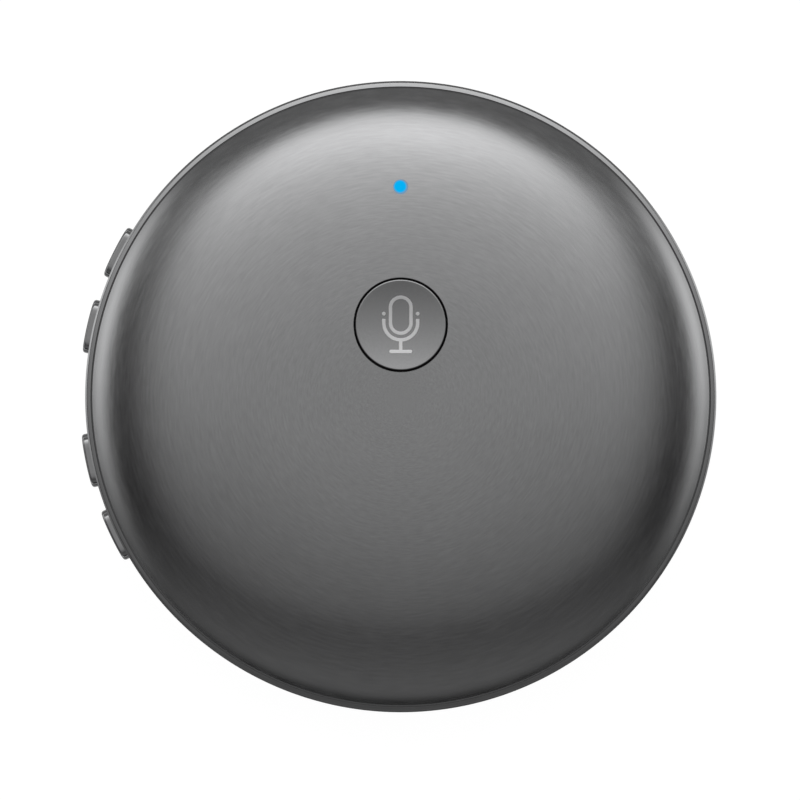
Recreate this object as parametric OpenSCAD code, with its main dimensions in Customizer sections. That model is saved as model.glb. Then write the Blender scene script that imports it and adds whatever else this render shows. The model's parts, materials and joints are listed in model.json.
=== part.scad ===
// Handheld voice translator: a round puck with a domed upper shell, a rim with four side
// buttons, a flatter lower shell on a rubber foot, and the board, cell and loudspeaker inside.
// Sizes are in millimetres. The origin is the centre of the base, on the surface that the
// translator lies on. +Z is up, the side buttons are at -X and the charging socket is at -Y.

/* [Shells] */
// Outer diameter of the rim
case_d = 66; // [64:0.5:80]
// Height of the upper shell's curve above its straight edge
dome_h = 5; // [4.6:0.1:8]
// Squareness of the upper shell's shoulder, where 2 is an ellipse
dome_power = 3; // [2.5:0.5:6]
// How much wider the upper shell would be if its curve went on until it stood upright
dome_reach = 2.4; // [1:0.1:3]
// Depth of the lower shell below its seat on the rim
belly_h = 4.2; // [4:0.1:7]
// Squareness of the lower shell's shoulder
belly_power = 10; // [8:1:16]
// Wall of both shells
shell_wall = 1.4; // [1.2:0.1:1.8]

/* [Rim] */
// Height of the rim's band between the seats of the two shells
band_h = 5.6; // [5.2:0.1:7]
// Thickness of the rim's band
band_w = 2.2; // [1.8:0.1:3]
// Width of the lip that stands outside each shell
lip_w = 0.6; // [0.4:0.02:0.8]
// Height of each lip past the seat of its shell
lip_h = 0.6; // [0.4:0.1:1]
// Slope of the upper lip's top, down towards the outside
lip_slope = 15; // [0:1:20]
// Width of the chamfer on the outer edges of the rim
lip_chamfer = 0.2; // [0.1:0.05:0.3]
// Slope of that chamfer on the upper lip
chamfer_slope = 33; // [25:1:60]
// Seam between a shell and the lip round it
seam_gap = 0.16; // [0.1:0.02:0.3]

/* [Foot and screws] */
// How far the rubber foot stands below the lower shell
foot_proud = 0.6; // [0.4:0.1:1]
// Width of the foot's ring
foot_w = 4.6; // [4.2:0.1:5.2]
// Depth of the groove that holds the foot
groove_depth = 0.8; // [0.5:0.1:0.9]
// Distance of the screws from the outside of the rim
screw_inset = 9; // [8.6:0.1:10]
// Angle of the screws either side of the X axis
screw_angle = 60; // [56:1:64]
// Thread diameter of the screws
screw_d = 2; // [1.6:0.1:2.2]
// Diameter of a screw's head
screw_head_d = 3.5; // [3:0.1:3.8]
// Height of a screw's head
screw_head_h = 0.9; // [0.6:0.1:1.2]
// Diameter of the screw bosses
boss_d = 5.2; // [4.8:0.1:5.6]
// Outer diameter of a threaded insert
insert_d = 3.2; // [2.8:0.1:3.6]
// Length of a threaded insert
insert_l = 2.6; // [2:0.1:2.9]
// Chamfer on the foot's lower edges
foot_chamfer = 0.25; // [0.1:0.05:0.4]

/* [Talk button] */
// Distance of the talk button from the centre, towards +Y
talk_y = 7.45; // [5:0.05:9]
// Diameter of the cap
talk_d = 9.3; // [8.6:0.1:11]
// Gap round the cap
talk_gap = 0.24; // [0.1:0.02:0.3]
// Depth of the dish in the cap's face
dish_depth = 0.36; // [0.14:0.02:0.5]
// Flat land between the dish and the edge of the cap
dish_land = 0.08; // [0.04:0.02:0.5]
// Length of the guide that the cap slides in
guide_l = 2.7; // [2.2:0.1:3]
// Wall of the guide
guide_wall = 1.4; // [1:0.1:2]
// Thickness of the flange that keeps the cap in
talk_flange_t = 0.7; // [0.5:0.1:0.9]
// How far the flange reaches past the hole
talk_flange_w = 0.65; // [0.4:0.05:0.9]
// Travel of the talk button
talk_stroke = 0.35; // [0.2:0.05:0.5]
// Side of the square switch under the cap
talk_switch_w = 6.2; // [5:0.1:7]
// Height of that switch's body
talk_switch_h = 1.5; // [1.4:0.1:1.8]
// Diameter of its plunger
talk_plunger_d = 3.2; // [2.4:0.1:3.6]

/* [Microphone symbol] */
// Width of the capsule outline
capsule_w = 2.5; // [2:0.1:2.8]
// Height of the capsule outline
capsule_h = 4.1; // [3.6:0.1:4.6]
// Height of the capsule's middle above the middle of the cap
capsule_y = 1; // [0.6:0.1:1.2]
// Width of the strokes
stroke_w = 0.37; // [0.25:0.01:0.45]
// Space between the capsule and the yoke round it
yoke_space = 0.32; // [0.25:0.01:0.5]
// Length of the yoke's straight arms
yoke_arm = 0.43; // [0.2:0.01:0.6]
// Diameter of the dots
dot_d = 0.41; // [0.3:0.01:0.5]
// Height of the dots above the ends of the arms
dot_rise = 0.53; // [0.45:0.01:0.8]
// Length of the stem below the yoke
stem_l = 0.83; // [0.4:0.01:0.9]
// Width of the base bar
base_bar_w = 2.38; // [1.8:0.01:3]
// Depth of the symbol's inlay below the bottom of the dish
inlay_depth = 0.25; // [0.15:0.05:0.5]

/* [Side buttons] */
// Angle of the middle of the row of four
row_angle = 179.4; // [170:0.1:190]
// Angle from the middle of the row to the nearest button
pair_angle = 12.2; // [11:0.1:16]
// Angle between the two buttons of a pair
pitch_angle = 14.25; // [14.25:0.25:18]
// Length of a button along the rim
side_l = 5.7; // [4.5:0.05:6]
// Height of a button
side_h = 2.3; // [1.8:0.1:2.6]
// How far a button stands out of the rim
side_proud = 0.75; // [0.4:0.01:1]
// Rounding of a button's outer edges
side_edge = 0.3; // [0.2:0.05:0.4]
// Gap round a button in its slot
side_gap = 0.1; // [0.05:0.01:0.15]
// Thickness of the flange behind the rim
side_flange_t = 0.8; // [0.5:0.1:1]
// How far the flange reaches past the slot
side_flange_w = 0.55; // [0.3:0.05:0.6]
// Travel of a side button
side_stroke = 0.3; // [0.15:0.05:0.4]
// Width of a side switch along the rim
side_switch_w = 4.7; // [4:0.1:6]
// Depth of a side switch, towards the centre
side_switch_t = 3; // [2.4:0.1:3.4]
// Height of a side switch
side_switch_h = 2.6; // [2.5:0.1:3.2]
// How far a side switch's plunger stands out of it
side_plunger_out = 0.8; // [0.6:0.1:0.9]
// Width of the plunger
side_plunger_w = 1.8; // [1.2:0.1:2.4]
// Height of the plunger
side_plunger_h = 1.1; // [0.8:0.1:1.4]

/* [Status light] */
// Distance of the light from the centre, towards +Y
light_y = 21.8; // [19:0.1:22.5]
// Diameter of the light pipe
light_d = 1.5; // [1:0.1:2]
// Wall of the sleeve that holds the light pipe
light_sleeve_wall = 1; // [0.6:0.1:1.4]
// Height of the sleeve's lower end above the board
light_sleeve_z = 2.4; // [2:0.1:2.8]

/* [Board] */
// Thickness of the board
board_t = 1; // [0.8:0.1:1.2]
// Space between the board's edge and the rim's band
board_space = 1.8; // [1.4:0.1:2.2]
// Length of the shield can
shield_l = 22; // [20:0.5:24]
// Width of the shield can
shield_w = 13; // [11:0.5:14]
// Height of the shield can
shield_h = 2.2; // [1.6:0.1:2.4]
// Space between the shield can and the lower pair of screw bosses
shield_space = 2.2; // [1.6:0.1:2.6]
// Side of the processor
processor_w = 9; // [7:0.5:10]
// Width of the radio module, which is as long as the room beside the can allows
radio_w = 9; // [7:0.5:11]
// Gap from the radio module to the can and to its antenna
radio_gap = 1; // [0.6:0.1:1.6]
// Space between the antenna and the edge of the board
antenna_space = 2.4; // [1.6:0.1:3]
// Space between the amplifier and the switch of the talk button
amplifier_space = 7.9; // [6:0.1:9]

/* [Cell and loudspeaker] */
// Space between each end of the cell and the rim's band
battery_end_space = 13.8; // [12.5:0.1:17]
// Space between the cell and the lower pair of screw bosses
battery_space = 1.4; // [1:0.1:3]
// Thickness of the cell
battery_t = 5; // [4:0.1:6]
// Thickness of the tape under the cell
tape_t = 0.2; // [0.1:0.05:0.3]
// Diameter of the loudspeaker
speaker_d = 20; // [16:0.5:20.5]
// Height of the loudspeaker
speaker_h = 4.5; // [4:0.1:4.9]
// Distance of the loudspeaker's middle from the row of the upper pair of screws
speaker_drop = 8.9; // [8.8:0.1:10]
// Diameter of the loudspeaker's magnet
magnet_d = 13; // [10:0.5:14]
// Thickness of the loudspeaker's gasket
gasket_t = 0.5; // [0.3:0.1:0.8]
// Diameter of a sound hole
sound_hole_d = 1.2; // [0.8:0.1:1.4]
// Distance between the rings of sound holes
sound_pitch = 2.4; // [2:0.1:3]
// Diameter of the lead wires with their insulation
wire_d = 0.8; // [0.5:0.1:0.9]

/* [Charging socket and microphones] */
// Width of the socket's shell
usb_w = 8.94; // [8.94:0.01:9.2]
// Height of the socket's shell
usb_h = 3.26; // [3.2:0.01:3.4]
// Length of the socket's shell
usb_l = 7.3; // [6.5:0.1:8]
// Wall of the socket's shell
usb_wall = 0.3; // [0.2:0.05:0.35]
// Distance of the socket's mouth inside the rim's face
usb_inset = 0.8; // [0.6:0.1:1.2]
// Gap round the socket in the rim
usb_gap = 0.1; // [0.05:0.01:0.15]
// Diameter of the microphone holes in the rim
mic_hole_d = 1; // [0.6:0.1:1.4]
// Angle of the microphone that the user talks to
talk_mic_angle = 320; // [316:1:330]
// Angle of the rear microphone
rear_mic_angle = 90; // [84:1:96]
// Width of a microphone
mic_w = 3.5; // [3:0.1:4]
// Depth of a microphone, towards the centre
mic_t = 1.1; // [0.9:0.1:1.3]
// Length of a microphone's rubber boot
boot_l = 3; // [2.6:0.1:3.2]

/* [Hidden] */
$fn = 96;

// How far a cut runs past the solid that it cuts
cut = 1;
// Clearance between pieces that are fitted by hand, and between sliding pieces
fit = 0.05;
// Facets of the large sphere that dishes the cap
sphere_fn = 360;

// Radii of the rim, and of the shells inside its lips
rim_r = case_d / 2;
lip_r = rim_r - lip_w;
shell_r = lip_r - seam_gap;
band_r = rim_r - band_w;

// Levels of the case, from the surface up
floor_z = foot_proud + shell_wall;
seat_lo = foot_proud + belly_h;
seat_hi = seat_lo + band_h;
rim_mid = (seat_lo + seat_hi) / 2;
lip_top = seat_hi + lip_h;
dome_top = lip_top + dome_h;

// The board hangs the socket and the side switches at the middle of the rim
board_z0 = rim_mid + usb_h / 2;
board_z1 = board_z0 + board_t;
board_r = band_r - board_space;

// Screws: their heads sit above the foot's groove, their tips in the inserts
screw_circle_r = rim_r - screw_inset;
screw_angles = [screw_angle, 180 - screw_angle, 180 + screw_angle, 360 - screw_angle];
screw_row_y = screw_circle_r * sin(screw_angle);
groove_z = foot_proud + groove_depth;
head_space = 0.2;
head_seat_z = groove_z + head_space + screw_head_h;
head_clearance = 0.15;
hole_clearance = 0.1;
thread_clearance = 0.03;
tip_space = 0.2;
screw_tip_z = board_z1 + insert_l - tip_space;
pocket_space = 0.3;
insert_pocket_l = insert_l + pocket_space;
drive_slot_l = 1.9;
drive_slot_w = 0.4;
drive_slot_depth = 0.5;

// Talk button, from its top down. The far edge of its hole is flush with it
hole_r = talk_d / 2 + talk_gap;
cap_r = talk_d / 2;
cap_top = lip_top + crown(talk_y + hole_r, shell_r, dome_h, dome_power, dome_reach);
guide_z = cap_top - guide_l;
flange_play = 0.1;
flange_top = guide_z - flange_play;
cap_bottom = flange_top - talk_flange_t;
cap_edge = 0.06;
cap_roof_t = 1.2;
cap_skirt_t = 1.1;
cap_stem_r = 1.6;
dish_r = cap_r - dish_land - cap_edge;
dish_sphere_r = (dish_r * dish_r + dish_depth * dish_depth) / (2 * dish_depth);
inlay_z = cap_top - dish_depth - inlay_depth;
well_play = 0.1;
talk_plunger_hidden = 0.6;
talk_plunger_z = board_z1 + talk_switch_h - talk_plunger_hidden;
talk_well_z = talk_plunger_z - talk_stroke - well_play;

// Side buttons, from the rim in
side_angles = [
    row_angle - pair_angle - pitch_angle,
    row_angle - pair_angle,
    row_angle + pair_angle,
    row_angle + pair_angle + pitch_angle
];
side_face_r = rim_r + side_proud;
side_flange_r = band_r - flange_play;
side_back_r = side_flange_r - side_flange_t;
switch_set_back = 0.6;
switch_face_r = board_r - switch_set_back;
side_plunger_r = switch_face_r + side_plunger_out;
side_plunger_hidden = 0.8;
side_well_r = switch_face_r - side_plunger_hidden - side_stroke - well_play;

// Status light
led_l = 1.6;
led_w = 0.8;
led_h = 0.6;
light_r = light_d / 2;
light_bore_r = light_r + thread_clearance;
light_sleeve_r = light_r + light_sleeve_wall;
light_sleeve_end = board_z1 + light_sleeve_z;
light_collar_w = 0.6;
light_collar_r = light_r + light_collar_w;
light_collar_t = 0.6;

// Chips and small parts on the upper side of the board
shield_wall = 0.2;
shield_y = -(screw_row_y - boss_d / 2 - shield_space - shield_w / 2);
chip_h = 0.8;
memory_l = 8;
memory_w = 6;
chip_gap = 0.6;
antenna_l = 6.5;
antenna_w = 1.6;
antenna_h = 1.1;
antenna_x = board_r - antenna_space - antenna_w / 2;
radio_h = 1.6;
radio_x0 = shield_l / 2 + radio_gap;
radio_x1 = antenna_x - antenna_w / 2 - radio_gap;
amplifier_w = 4;
amplifier_x = -(talk_switch_w / 2 + amplifier_space + amplifier_w / 2);
charger_l = 5;
charger_w = 4;
coil_w = 3;
coil_h = 1.4;
row_space = 1.2;
row_pitch = 2.5;
chip_row_y = shield_y - shield_w / 2 - row_space;
charger_y = chip_row_y - row_space - charger_w / 2;
coil_x = charger_l / 2 + row_space + coil_w / 2;
small_l = 0.5;
small_w = 1;
small_h = 0.5;
small_places = [
    for (i = [-3.5:1:3.5]) [i * row_pitch, chip_row_y],
    for (i = [-3:1:3]) [i * row_pitch, shield_y + shield_w / 2 + row_space],
    for (i = [-1:1:1], side = [-1, 1])
        [amplifier_x + i * row_pitch / 2, talk_y + side * (amplifier_w / 2 + row_space)]
];

// Loudspeaker and cell, laid out between the two pairs of screw bosses
speaker_r = speaker_d / 2;
speaker_y = screw_row_y - speaker_drop;
mesh_t = 0.15;
ring_wall = 0.8;
ring_gap = 0.15;
ring_h = 1.2;
ring_r = speaker_r + ring_gap + ring_wall;
speaker_z = floor_z + mesh_t + gasket_t;
speaker_top = speaker_z + speaker_h;
gasket_w = 1.6;
basket_h = 3;
basket_wall = 0.8;
cone_t = 0.2;
cone_play = 0.3;
cone_edge_z = speaker_z + cone_play;
cone_rise = 1.2;
cone_cap_r = 3;
pad_inset = 0.5;
sound_rings = floor((speaker_r - gasket_w - sound_hole_d / 2) / sound_pitch);
battery_gap = 0.3;
battery_y0 = -(screw_row_y - boss_d / 2 - battery_space);
battery_y1 = speaker_y - ring_r - battery_gap;
battery_y = (battery_y0 + battery_y1) / 2;
battery_w = battery_y1 - battery_y0;
battery_z = floor_z + tape_t;
battery_end_x = band_r - battery_end_space;
battery_l = 2 * battery_end_x;
battery_corner = 1.2;
protection_l = 2;
protection_h = 3;
rib_l = 14;
rib_w = 0.6;
rib_h = 1.5;
tape_inset = 1;

// The floor is flat out to the cell's corners and the loudspeaker's edge
floor_r = fit + max(norm([battery_end_x, battery_y0]), speaker_y + speaker_r);

// Leads: straight out, a quarter bend, and straight up
wire_space = 1.2;
battery_lead_rise = 1.5;
battery_lead_z = battery_z + battery_lead_rise;
battery_lead_out = 0.8;
battery_bend_r = 1.5;
battery_socket_x = battery_end_x + battery_lead_out + battery_bend_r;
socket_l = 4;
socket_w = 4;
socket_h = 1;
plug_l = 3;
plug_w = 3.4;
plug_h = 1;
plug_z = board_z0 - socket_h - plug_h;
speaker_lead_rise = 1.4;
speaker_lead_z = speaker_z + speaker_lead_rise;
speaker_lead_out = 0.6;
speaker_bend_r = 1.2;

// Charging socket
usb_mouth_y = -(rim_r - usb_inset);
usb_back_y = usb_mouth_y + usb_l;
usb_tongue_w = 6.7;
usb_tongue_t = 0.7;
usb_tongue_back = 0.8;
usb_base_l = 2;

// Microphones
boot_r = band_r - fit;
mic_face_r = boot_r - boot_l;
mic_h = usb_h;
boot_h = 2.8;
boot_w = 3.2;

// ---------------------------------------------------------------- shapes used more than once

// A shell's curve has radius r, height h and squareness p. It is the upper part of a superellipse
// that would stand upright at r + reach, and these functions give its height x away from the middle
function crown(x, r, h, p, reach) =
    h * (sqrt(1 - pow(x / (r + reach), p)) - crown_cut(r, p, reach)) / (1 - crown_cut(r, p, reach));
function crown_cut(r, p, reach) = sqrt(1 - pow(r / (r + reach), p));

// The solid under such a curve, which stands on z = 0
module crown_solid(r, h, p, reach) {
    steps = 32;
    end_angle = acos(crown_cut(r, p, reach));
    rim = [for (i = [steps - 1:-1:0]) (r + reach) * pow(sin(end_angle * i / steps), 2 / p)];
    rotate_extrude()
        polygon(concat([[0, 0], [r, 0]], [for (x = rim) [x, crown(x, r, h, p, reach)]]));
}

// What lies under the upper shell's surface, drawn in by a wall, and so far below its seat
module dome_solid(wall, below) {
    translate([0, 0, seat_hi - below])
        cylinder(h = lip_h + below, r = shell_r - wall);
    translate([0, 0, lip_top])
        crown_solid(shell_r - wall, dome_h - wall, dome_power, dome_reach);
}

// A pill outline that lies along Y
module pill(length, height) {
    square([height, length - height], center = true);
    for (side = [-1, 1])
        translate([0, side * (length - height) / 2])
            circle(d = height);
}

// A prism with a pill outline, from radius r0 to r1 along the direction of an angle
module radial_pill(angle, r0, r1, length, height) {
    rotate([0, 0, angle])
        translate([r0, 0, rim_mid])
            rotate([0, 90, 0])
                linear_extrude(r1 - r0)
                    pill(length, height);
}

// A flat block with round upright edges, centred on the Z axis
module rounded_block(length, width, height, r) {
    linear_extrude(height) {
        square([length - 2 * r, width], center = true);
        square([length, width - 2 * r], center = true);
        for (x = [-1, 1], y = [-1, 1])
            translate([x * (length / 2 - r), y * (width / 2 - r)])
                circle(r);
    }
}

// A plain chip that stands on the board
module chip(x, y, length, width, height) {
    translate([x - length / 2, y - width / 2, board_z1])
        cube([length, width, height]);
}

// Places its children at each screw
module at_screws() {
    for (a = screw_angles)
        rotate([0, 0, a])
            translate([screw_circle_r, 0, 0])
                children();
}

// Two wires side by side that leave x, y, z towards +X, bend up and end at top_z
module wire_pair(x, y, z, out, bend_r, top_z) {
    for (side = [-1, 1])
        translate([x, y + side * wire_space / 2, z]) {
            rotate([0, 90, 0])
                cylinder(h = out, d = wire_d);
            translate([out, 0, bend_r])
                rotate([90, 0, 0])
                    rotate_extrude(angle = -90)
                        translate([bend_r, 0])
                            circle(d = wire_d);
            translate([out + bend_r, 0, bend_r])
                cylinder(h = top_z - z - bend_r, d = wire_d);
        }
}

// ---------------------------------------------------------------- shells and rim

module top_shell() {
    color("#5c5d5f")
        difference() {
            union() {
                difference() {
                    dome_solid(0, 0);
                    dome_solid(shell_wall, cut);
                }
                intersection() {
                    dome_solid(0, band_h);
                    union() {
                        translate([0, talk_y, guide_z])
                            cylinder(h = dome_top - guide_z, r = hole_r + guide_wall);
                        translate([0, light_y, light_sleeve_end])
                            cylinder(h = dome_top - light_sleeve_end, r = light_sleeve_r);
                        at_screws()
                            translate([0, 0, board_z1])
                                cylinder(h = dome_top - board_z1, d = boss_d);
                    }
                }
            }
            translate([0, talk_y, guide_z - cut])
                cylinder(h = guide_l + 2 * cut, r = hole_r);
            translate([0, talk_y, cap_top - cap_edge / 2])
                cylinder(h = cut, r1 = hole_r, r2 = hole_r + cut);
            translate([0, light_y, light_sleeve_end - cut])
                cylinder(h = dome_top - light_sleeve_end + cut, r = light_bore_r);
            at_screws()
                translate([0, 0, board_z1 - cut])
                    cylinder(h = insert_pocket_l + cut, d = insert_d);
        }
}

module rim_frame() {
    chamfer_top = lip_top - (lip_w - lip_chamfer) * tan(lip_slope);
    color("#5c5d5f")
        difference() {
            rotate_extrude()
                polygon([
                    [band_r, seat_lo],
                    [lip_r, seat_lo],
                    [lip_r, seat_lo - lip_h],
                    [rim_r - lip_chamfer, seat_lo - lip_h],
                    [rim_r, seat_lo - lip_h + lip_chamfer],
                    [rim_r, chamfer_top - lip_chamfer * tan(chamfer_slope)],
                    [rim_r - lip_chamfer, chamfer_top],
                    [lip_r, lip_top],
                    [lip_r, seat_hi],
                    [band_r, seat_hi]
                ]);
            for (a = side_angles)
                radial_pill(a, band_r - cut, rim_r + cut, side_l + 2 * side_gap, side_h + 2 * side_gap);
            radial_pill(270, band_r - cut, rim_r + cut, usb_w + 2 * usb_gap, usb_h + 2 * usb_gap);
            for (a = [talk_mic_angle, rear_mic_angle])
                mic_hole(a, band_r - cut, rim_r + cut);
        }
}

module mic_hole(angle, r0, r1) {
    rotate([0, 0, angle])
        translate([r0, 0, rim_mid])
            rotate([0, 90, 0])
                cylinder(h = r1 - r0, d = mic_hole_d);
}

module bottom_shell() {
    color("#5c5d5f")
        difference() {
            union() {
                translate([0, 0, seat_lo])
                    mirror([0, 0, 1])
                        difference() {
                            crown_solid(shell_r, belly_h, belly_power, 0);
                            crown_solid(shell_r - shell_wall, belly_h - shell_wall, belly_power, 0);
                            cylinder(h = belly_h - shell_wall, r = floor_r);
                        }
                at_screws()
                    translate([0, 0, groove_z])
                        cylinder(h = board_z0 - groove_z, d = boss_d);
                speaker_wall();
                translate([-rib_l / 2, battery_y0 - ring_gap - rib_w, floor_z - fit])
                    cube([rib_l, rib_w, rib_h + fit]);
            }
            rotate_extrude()
                translate([screw_circle_r - foot_w / 2 - fit, 0])
                    square([foot_w + 2 * fit, groove_z]);
            at_screws() {
                translate([0, 0, groove_z - cut])
                    cylinder(h = head_seat_z - groove_z + cut, d = screw_head_d + 2 * head_clearance);
                cylinder(h = board_z0 + cut, d = screw_d + 2 * hole_clearance);
            }
            sound_holes();
        }
}

// The low wall that holds the loudspeaker in place on the floor
module speaker_wall() {
    translate([0, speaker_y, floor_z - fit])
        difference() {
            cylinder(h = ring_h + fit, r = ring_r);
            translate([0, 0, -cut])
                cylinder(h = ring_h + 2 * cut, r = ring_r - ring_wall);
        }
}

// A middle hole and rings of holes round it, six more in each ring
module sound_holes() {
    translate([0, speaker_y, 0]) {
        cylinder(h = floor_z + cut, d = sound_hole_d);
        for (ring = [1:sound_rings])
            for (i = [0:6 * ring - 1])
                rotate([0, 0, 60 * i / ring])
                    translate([ring * sound_pitch, 0, 0])
                        cylinder(h = floor_z + cut, d = sound_hole_d);
    }
}

module foot_ring() {
    foot_r0 = screw_circle_r - foot_w / 2;
    foot_r1 = screw_circle_r + foot_w / 2;
    color("#1c1c1e")
        rotate_extrude()
            polygon([
                [foot_r0 + foot_chamfer, 0],
                [foot_r1 - foot_chamfer, 0],
                [foot_r1, foot_chamfer],
                [foot_r1, groove_z],
                [foot_r0, groove_z],
                [foot_r0, foot_chamfer]
            ]);
}

module case_screws() {
    color("#8c8c90")
        at_screws() {
            difference() {
                union() {
                    translate([0, 0, head_seat_z - screw_head_h])
                        cylinder(h = screw_head_h, d = screw_head_d);
                    translate([0, 0, head_seat_z])
                        cylinder(h = screw_tip_z - head_seat_z, d = screw_d);
                }
                for (turn = [0, 90])
                    rotate([0, 0, turn])
                        translate([-drive_slot_l / 2, -drive_slot_w / 2, head_seat_z - screw_head_h - cut])
                            cube([drive_slot_l, drive_slot_w, drive_slot_depth + cut]);
            }
        }
}

module threaded_inserts() {
    color("#b08d3c")
        at_screws()
            translate([0, 0, board_z1])
                difference() {
                    cylinder(h = insert_l, d = insert_d);
                    translate([0, 0, -cut])
                        cylinder(h = insert_l + 2 * cut, d = screw_d + 2 * thread_clearance);
                }
}

// ---------------------------------------------------------------- talk button

module talk_button() {
    color("#58595b")
        translate([0, talk_y, 0])
            difference() {
                rotate_extrude()
                    polygon([
                        [0, cap_bottom],
                        [cap_stem_r, cap_bottom],
                        [cap_stem_r, cap_top - dish_depth - cap_roof_t],
                        [cap_r - cap_skirt_t, cap_top - dish_depth - cap_roof_t],
                        [cap_r - cap_skirt_t, cap_bottom],
                        [hole_r + talk_flange_w, cap_bottom],
                        [hole_r + talk_flange_w, flange_top],
                        [cap_r, flange_top],
                        [cap_r, cap_top - cap_edge],
                        [cap_r - cap_edge, cap_top],
                        [0, cap_top]
                    ]);
                dish_sphere();
                symbol_prism();
            }
}

// The large sphere that hollows the face of the cap
module dish_sphere() {
    translate([0, 0, cap_top - dish_depth + dish_sphere_r])
        sphere(dish_sphere_r, $fn = sphere_fn);
}

module mic_symbol() {
    color("#c8c9cb")
        translate([0, talk_y, 0])
            difference() {
                symbol_prism();
                dish_sphere();
            }
}

module symbol_prism() {
    translate([0, 0, inlay_z])
        linear_extrude(cap_top - inlay_z)
            symbol_outline();
}

// A microphone: a capsule outline in a yoke, with a stem, a base bar and two dots
module symbol_outline() {
    end_y = capsule_y - (capsule_h - capsule_w) / 2;
    yoke_r = capsule_w / 2 + yoke_space + stroke_w;
    foot_y = end_y - yoke_r - stem_l;
    translate([0, capsule_y])
        difference() {
            pill(capsule_h, capsule_w);
            pill(capsule_h - 2 * stroke_w, capsule_w - 2 * stroke_w);
        }
    translate([0, end_y]) {
        difference() {
            circle(yoke_r);
            circle(yoke_r - stroke_w);
            translate([-yoke_r - cut, 0])
                square([2 * (yoke_r + cut), yoke_r + cut]);
        }
        for (side = [-1, 1])
            translate([side * (yoke_r - stroke_w / 2), 0]) {
                translate([-stroke_w / 2, -fit])
                    square([stroke_w, yoke_arm + fit]);
                translate([0, yoke_arm + dot_rise])
                    circle(d = dot_d);
            }
    }
    translate([-stroke_w / 2, foot_y - stroke_w / 2])
        square([stroke_w, stem_l + stroke_w]);
    translate([0, foot_y - stroke_w / 2])
        rotate(90)
            pill(base_bar_w, stroke_w);
}

module talk_switch() {
    color("#2a2a2c")
        difference() {
            chip(0, talk_y, talk_switch_w, talk_switch_w, talk_switch_h);
            translate([0, talk_y, talk_well_z])
                cylinder(h = talk_switch_h + cut, d = talk_plunger_d + 2 * fit);
        }
}

module talk_switch_plunger() {
    color("#d8d4c8")
        translate([0, talk_y, talk_plunger_z])
            cylinder(h = cap_bottom - talk_plunger_z, d = talk_plunger_d);
}

// ---------------------------------------------------------------- side buttons

// A pill-shaped cap with rounded outer edges, a flange behind the rim and a nub
module side_button(i) {
    color("#58595b") {
        intersection() {
            union() {
                rotate([0, 0, side_angles[i]])
                    translate([side_back_r, 0, rim_mid])
                        rotate([0, 90, 0])
                            rounded_pill(side_l, side_h, side_face_r - side_back_r, side_edge);
                intersection() {
                    radial_pill(side_angles[i], side_back_r, side_flange_r + cut,
                                side_l + 2 * (side_gap + side_flange_w), side_h + 2 * (side_gap + side_flange_w));
                    cylinder(h = dome_top, r = side_flange_r);
                }
            }
            cylinder(h = dome_top, r = side_face_r);
        }
        rotate([0, 0, side_angles[i]])
            translate([side_plunger_r, -side_plunger_w / 2, rim_mid - side_plunger_h / 2])
                cube([side_back_r - side_plunger_r + fit, side_plunger_w, side_plunger_h]);
    }
}

// A prism along Z with a pill outline that lies along Y, and a rounded edge at its far end
module rounded_pill(length, height, depth, edge) {
    run = length - height;
    rotate([90, 0, 0])
        linear_extrude(run, center = true)
            rounded_end(height / 2, depth, edge);
    for (side = [0, 180])
        rotate([0, 0, side])
            translate([0, run / 2, 0])
                rotate_extrude(angle = 180)
                    intersection() {
                        rounded_end(height / 2, depth, edge);
                        square([height, depth]);
                    }
}

// A rectangle from -r to r that stands on the X axis, with its two far corners rounded
module rounded_end(r, depth, edge) {
    translate([-r, 0])
        square([2 * r, depth - edge]);
    translate([edge - r, 0])
        square([2 * (r - edge), depth]);
    for (side = [-1, 1])
        translate([side * (r - edge), depth - edge])
            circle(edge);
}

module power_button() { side_button(0); }
module language_button() { side_button(1); }
module volume_up_button() { side_button(2); }
module volume_down_button() { side_button(3); }

// A right-angle switch that hangs under the board, with a well for its plunger
module side_switch(i) {
    color("#2a2a2c")
        rotate([0, 0, side_angles[i]])
            difference() {
                translate([switch_face_r - side_switch_t, -side_switch_w / 2, board_z0 - side_switch_h])
                    cube([side_switch_t, side_switch_w, side_switch_h]);
                translate([side_well_r, -side_plunger_w / 2 - fit, rim_mid - side_plunger_h / 2 - fit])
                    cube([side_switch_t, side_plunger_w + 2 * fit, side_plunger_h + 2 * fit]);
            }
}

module power_switch() { side_switch(0); }
module language_switch() { side_switch(1); }
module volume_up_switch() { side_switch(2); }
module volume_down_switch() { side_switch(3); }

module side_plunger(i) {
    color("#d8d4c8")
        rotate([0, 0, side_angles[i]])
            translate([switch_face_r - side_plunger_hidden, -side_plunger_w / 2, rim_mid - side_plunger_h / 2])
                cube([side_plunger_hidden + side_plunger_out, side_plunger_w, side_plunger_h]);
}

module power_plunger() { side_plunger(0); }
module language_plunger() { side_plunger(1); }
module volume_up_plunger() { side_plunger(2); }
module volume_down_plunger() { side_plunger(3); }

// ---------------------------------------------------------------- status light

module status_led() {
    color("#e8eef4")
        chip(0, light_y, led_l, led_w, led_h);
}

// A clear rod whose upper end follows the dome, with a collar under the sleeve
module light_pipe() {
    color("#10b4fc")
        intersection() {
            dome_solid(0, band_h);
            union() {
                translate([0, light_y, board_z1 + led_h + fit])
                    cylinder(h = dome_top - board_z1, r = light_r);
                translate([0, light_y, light_sleeve_end - fit - light_collar_t])
                    cylinder(h = light_collar_t, r = light_collar_r);
            }
        }
}

// ---------------------------------------------------------------- board

module main_board() {
    color("#1f5a3a")
        translate([0, 0, board_z0])
            difference() {
                cylinder(h = board_t, r = board_r);
                at_screws()
                    translate([0, 0, -cut])
                        cylinder(h = board_t + 2 * cut, d = screw_d + 2 * hole_clearance);
            }
}

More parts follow.
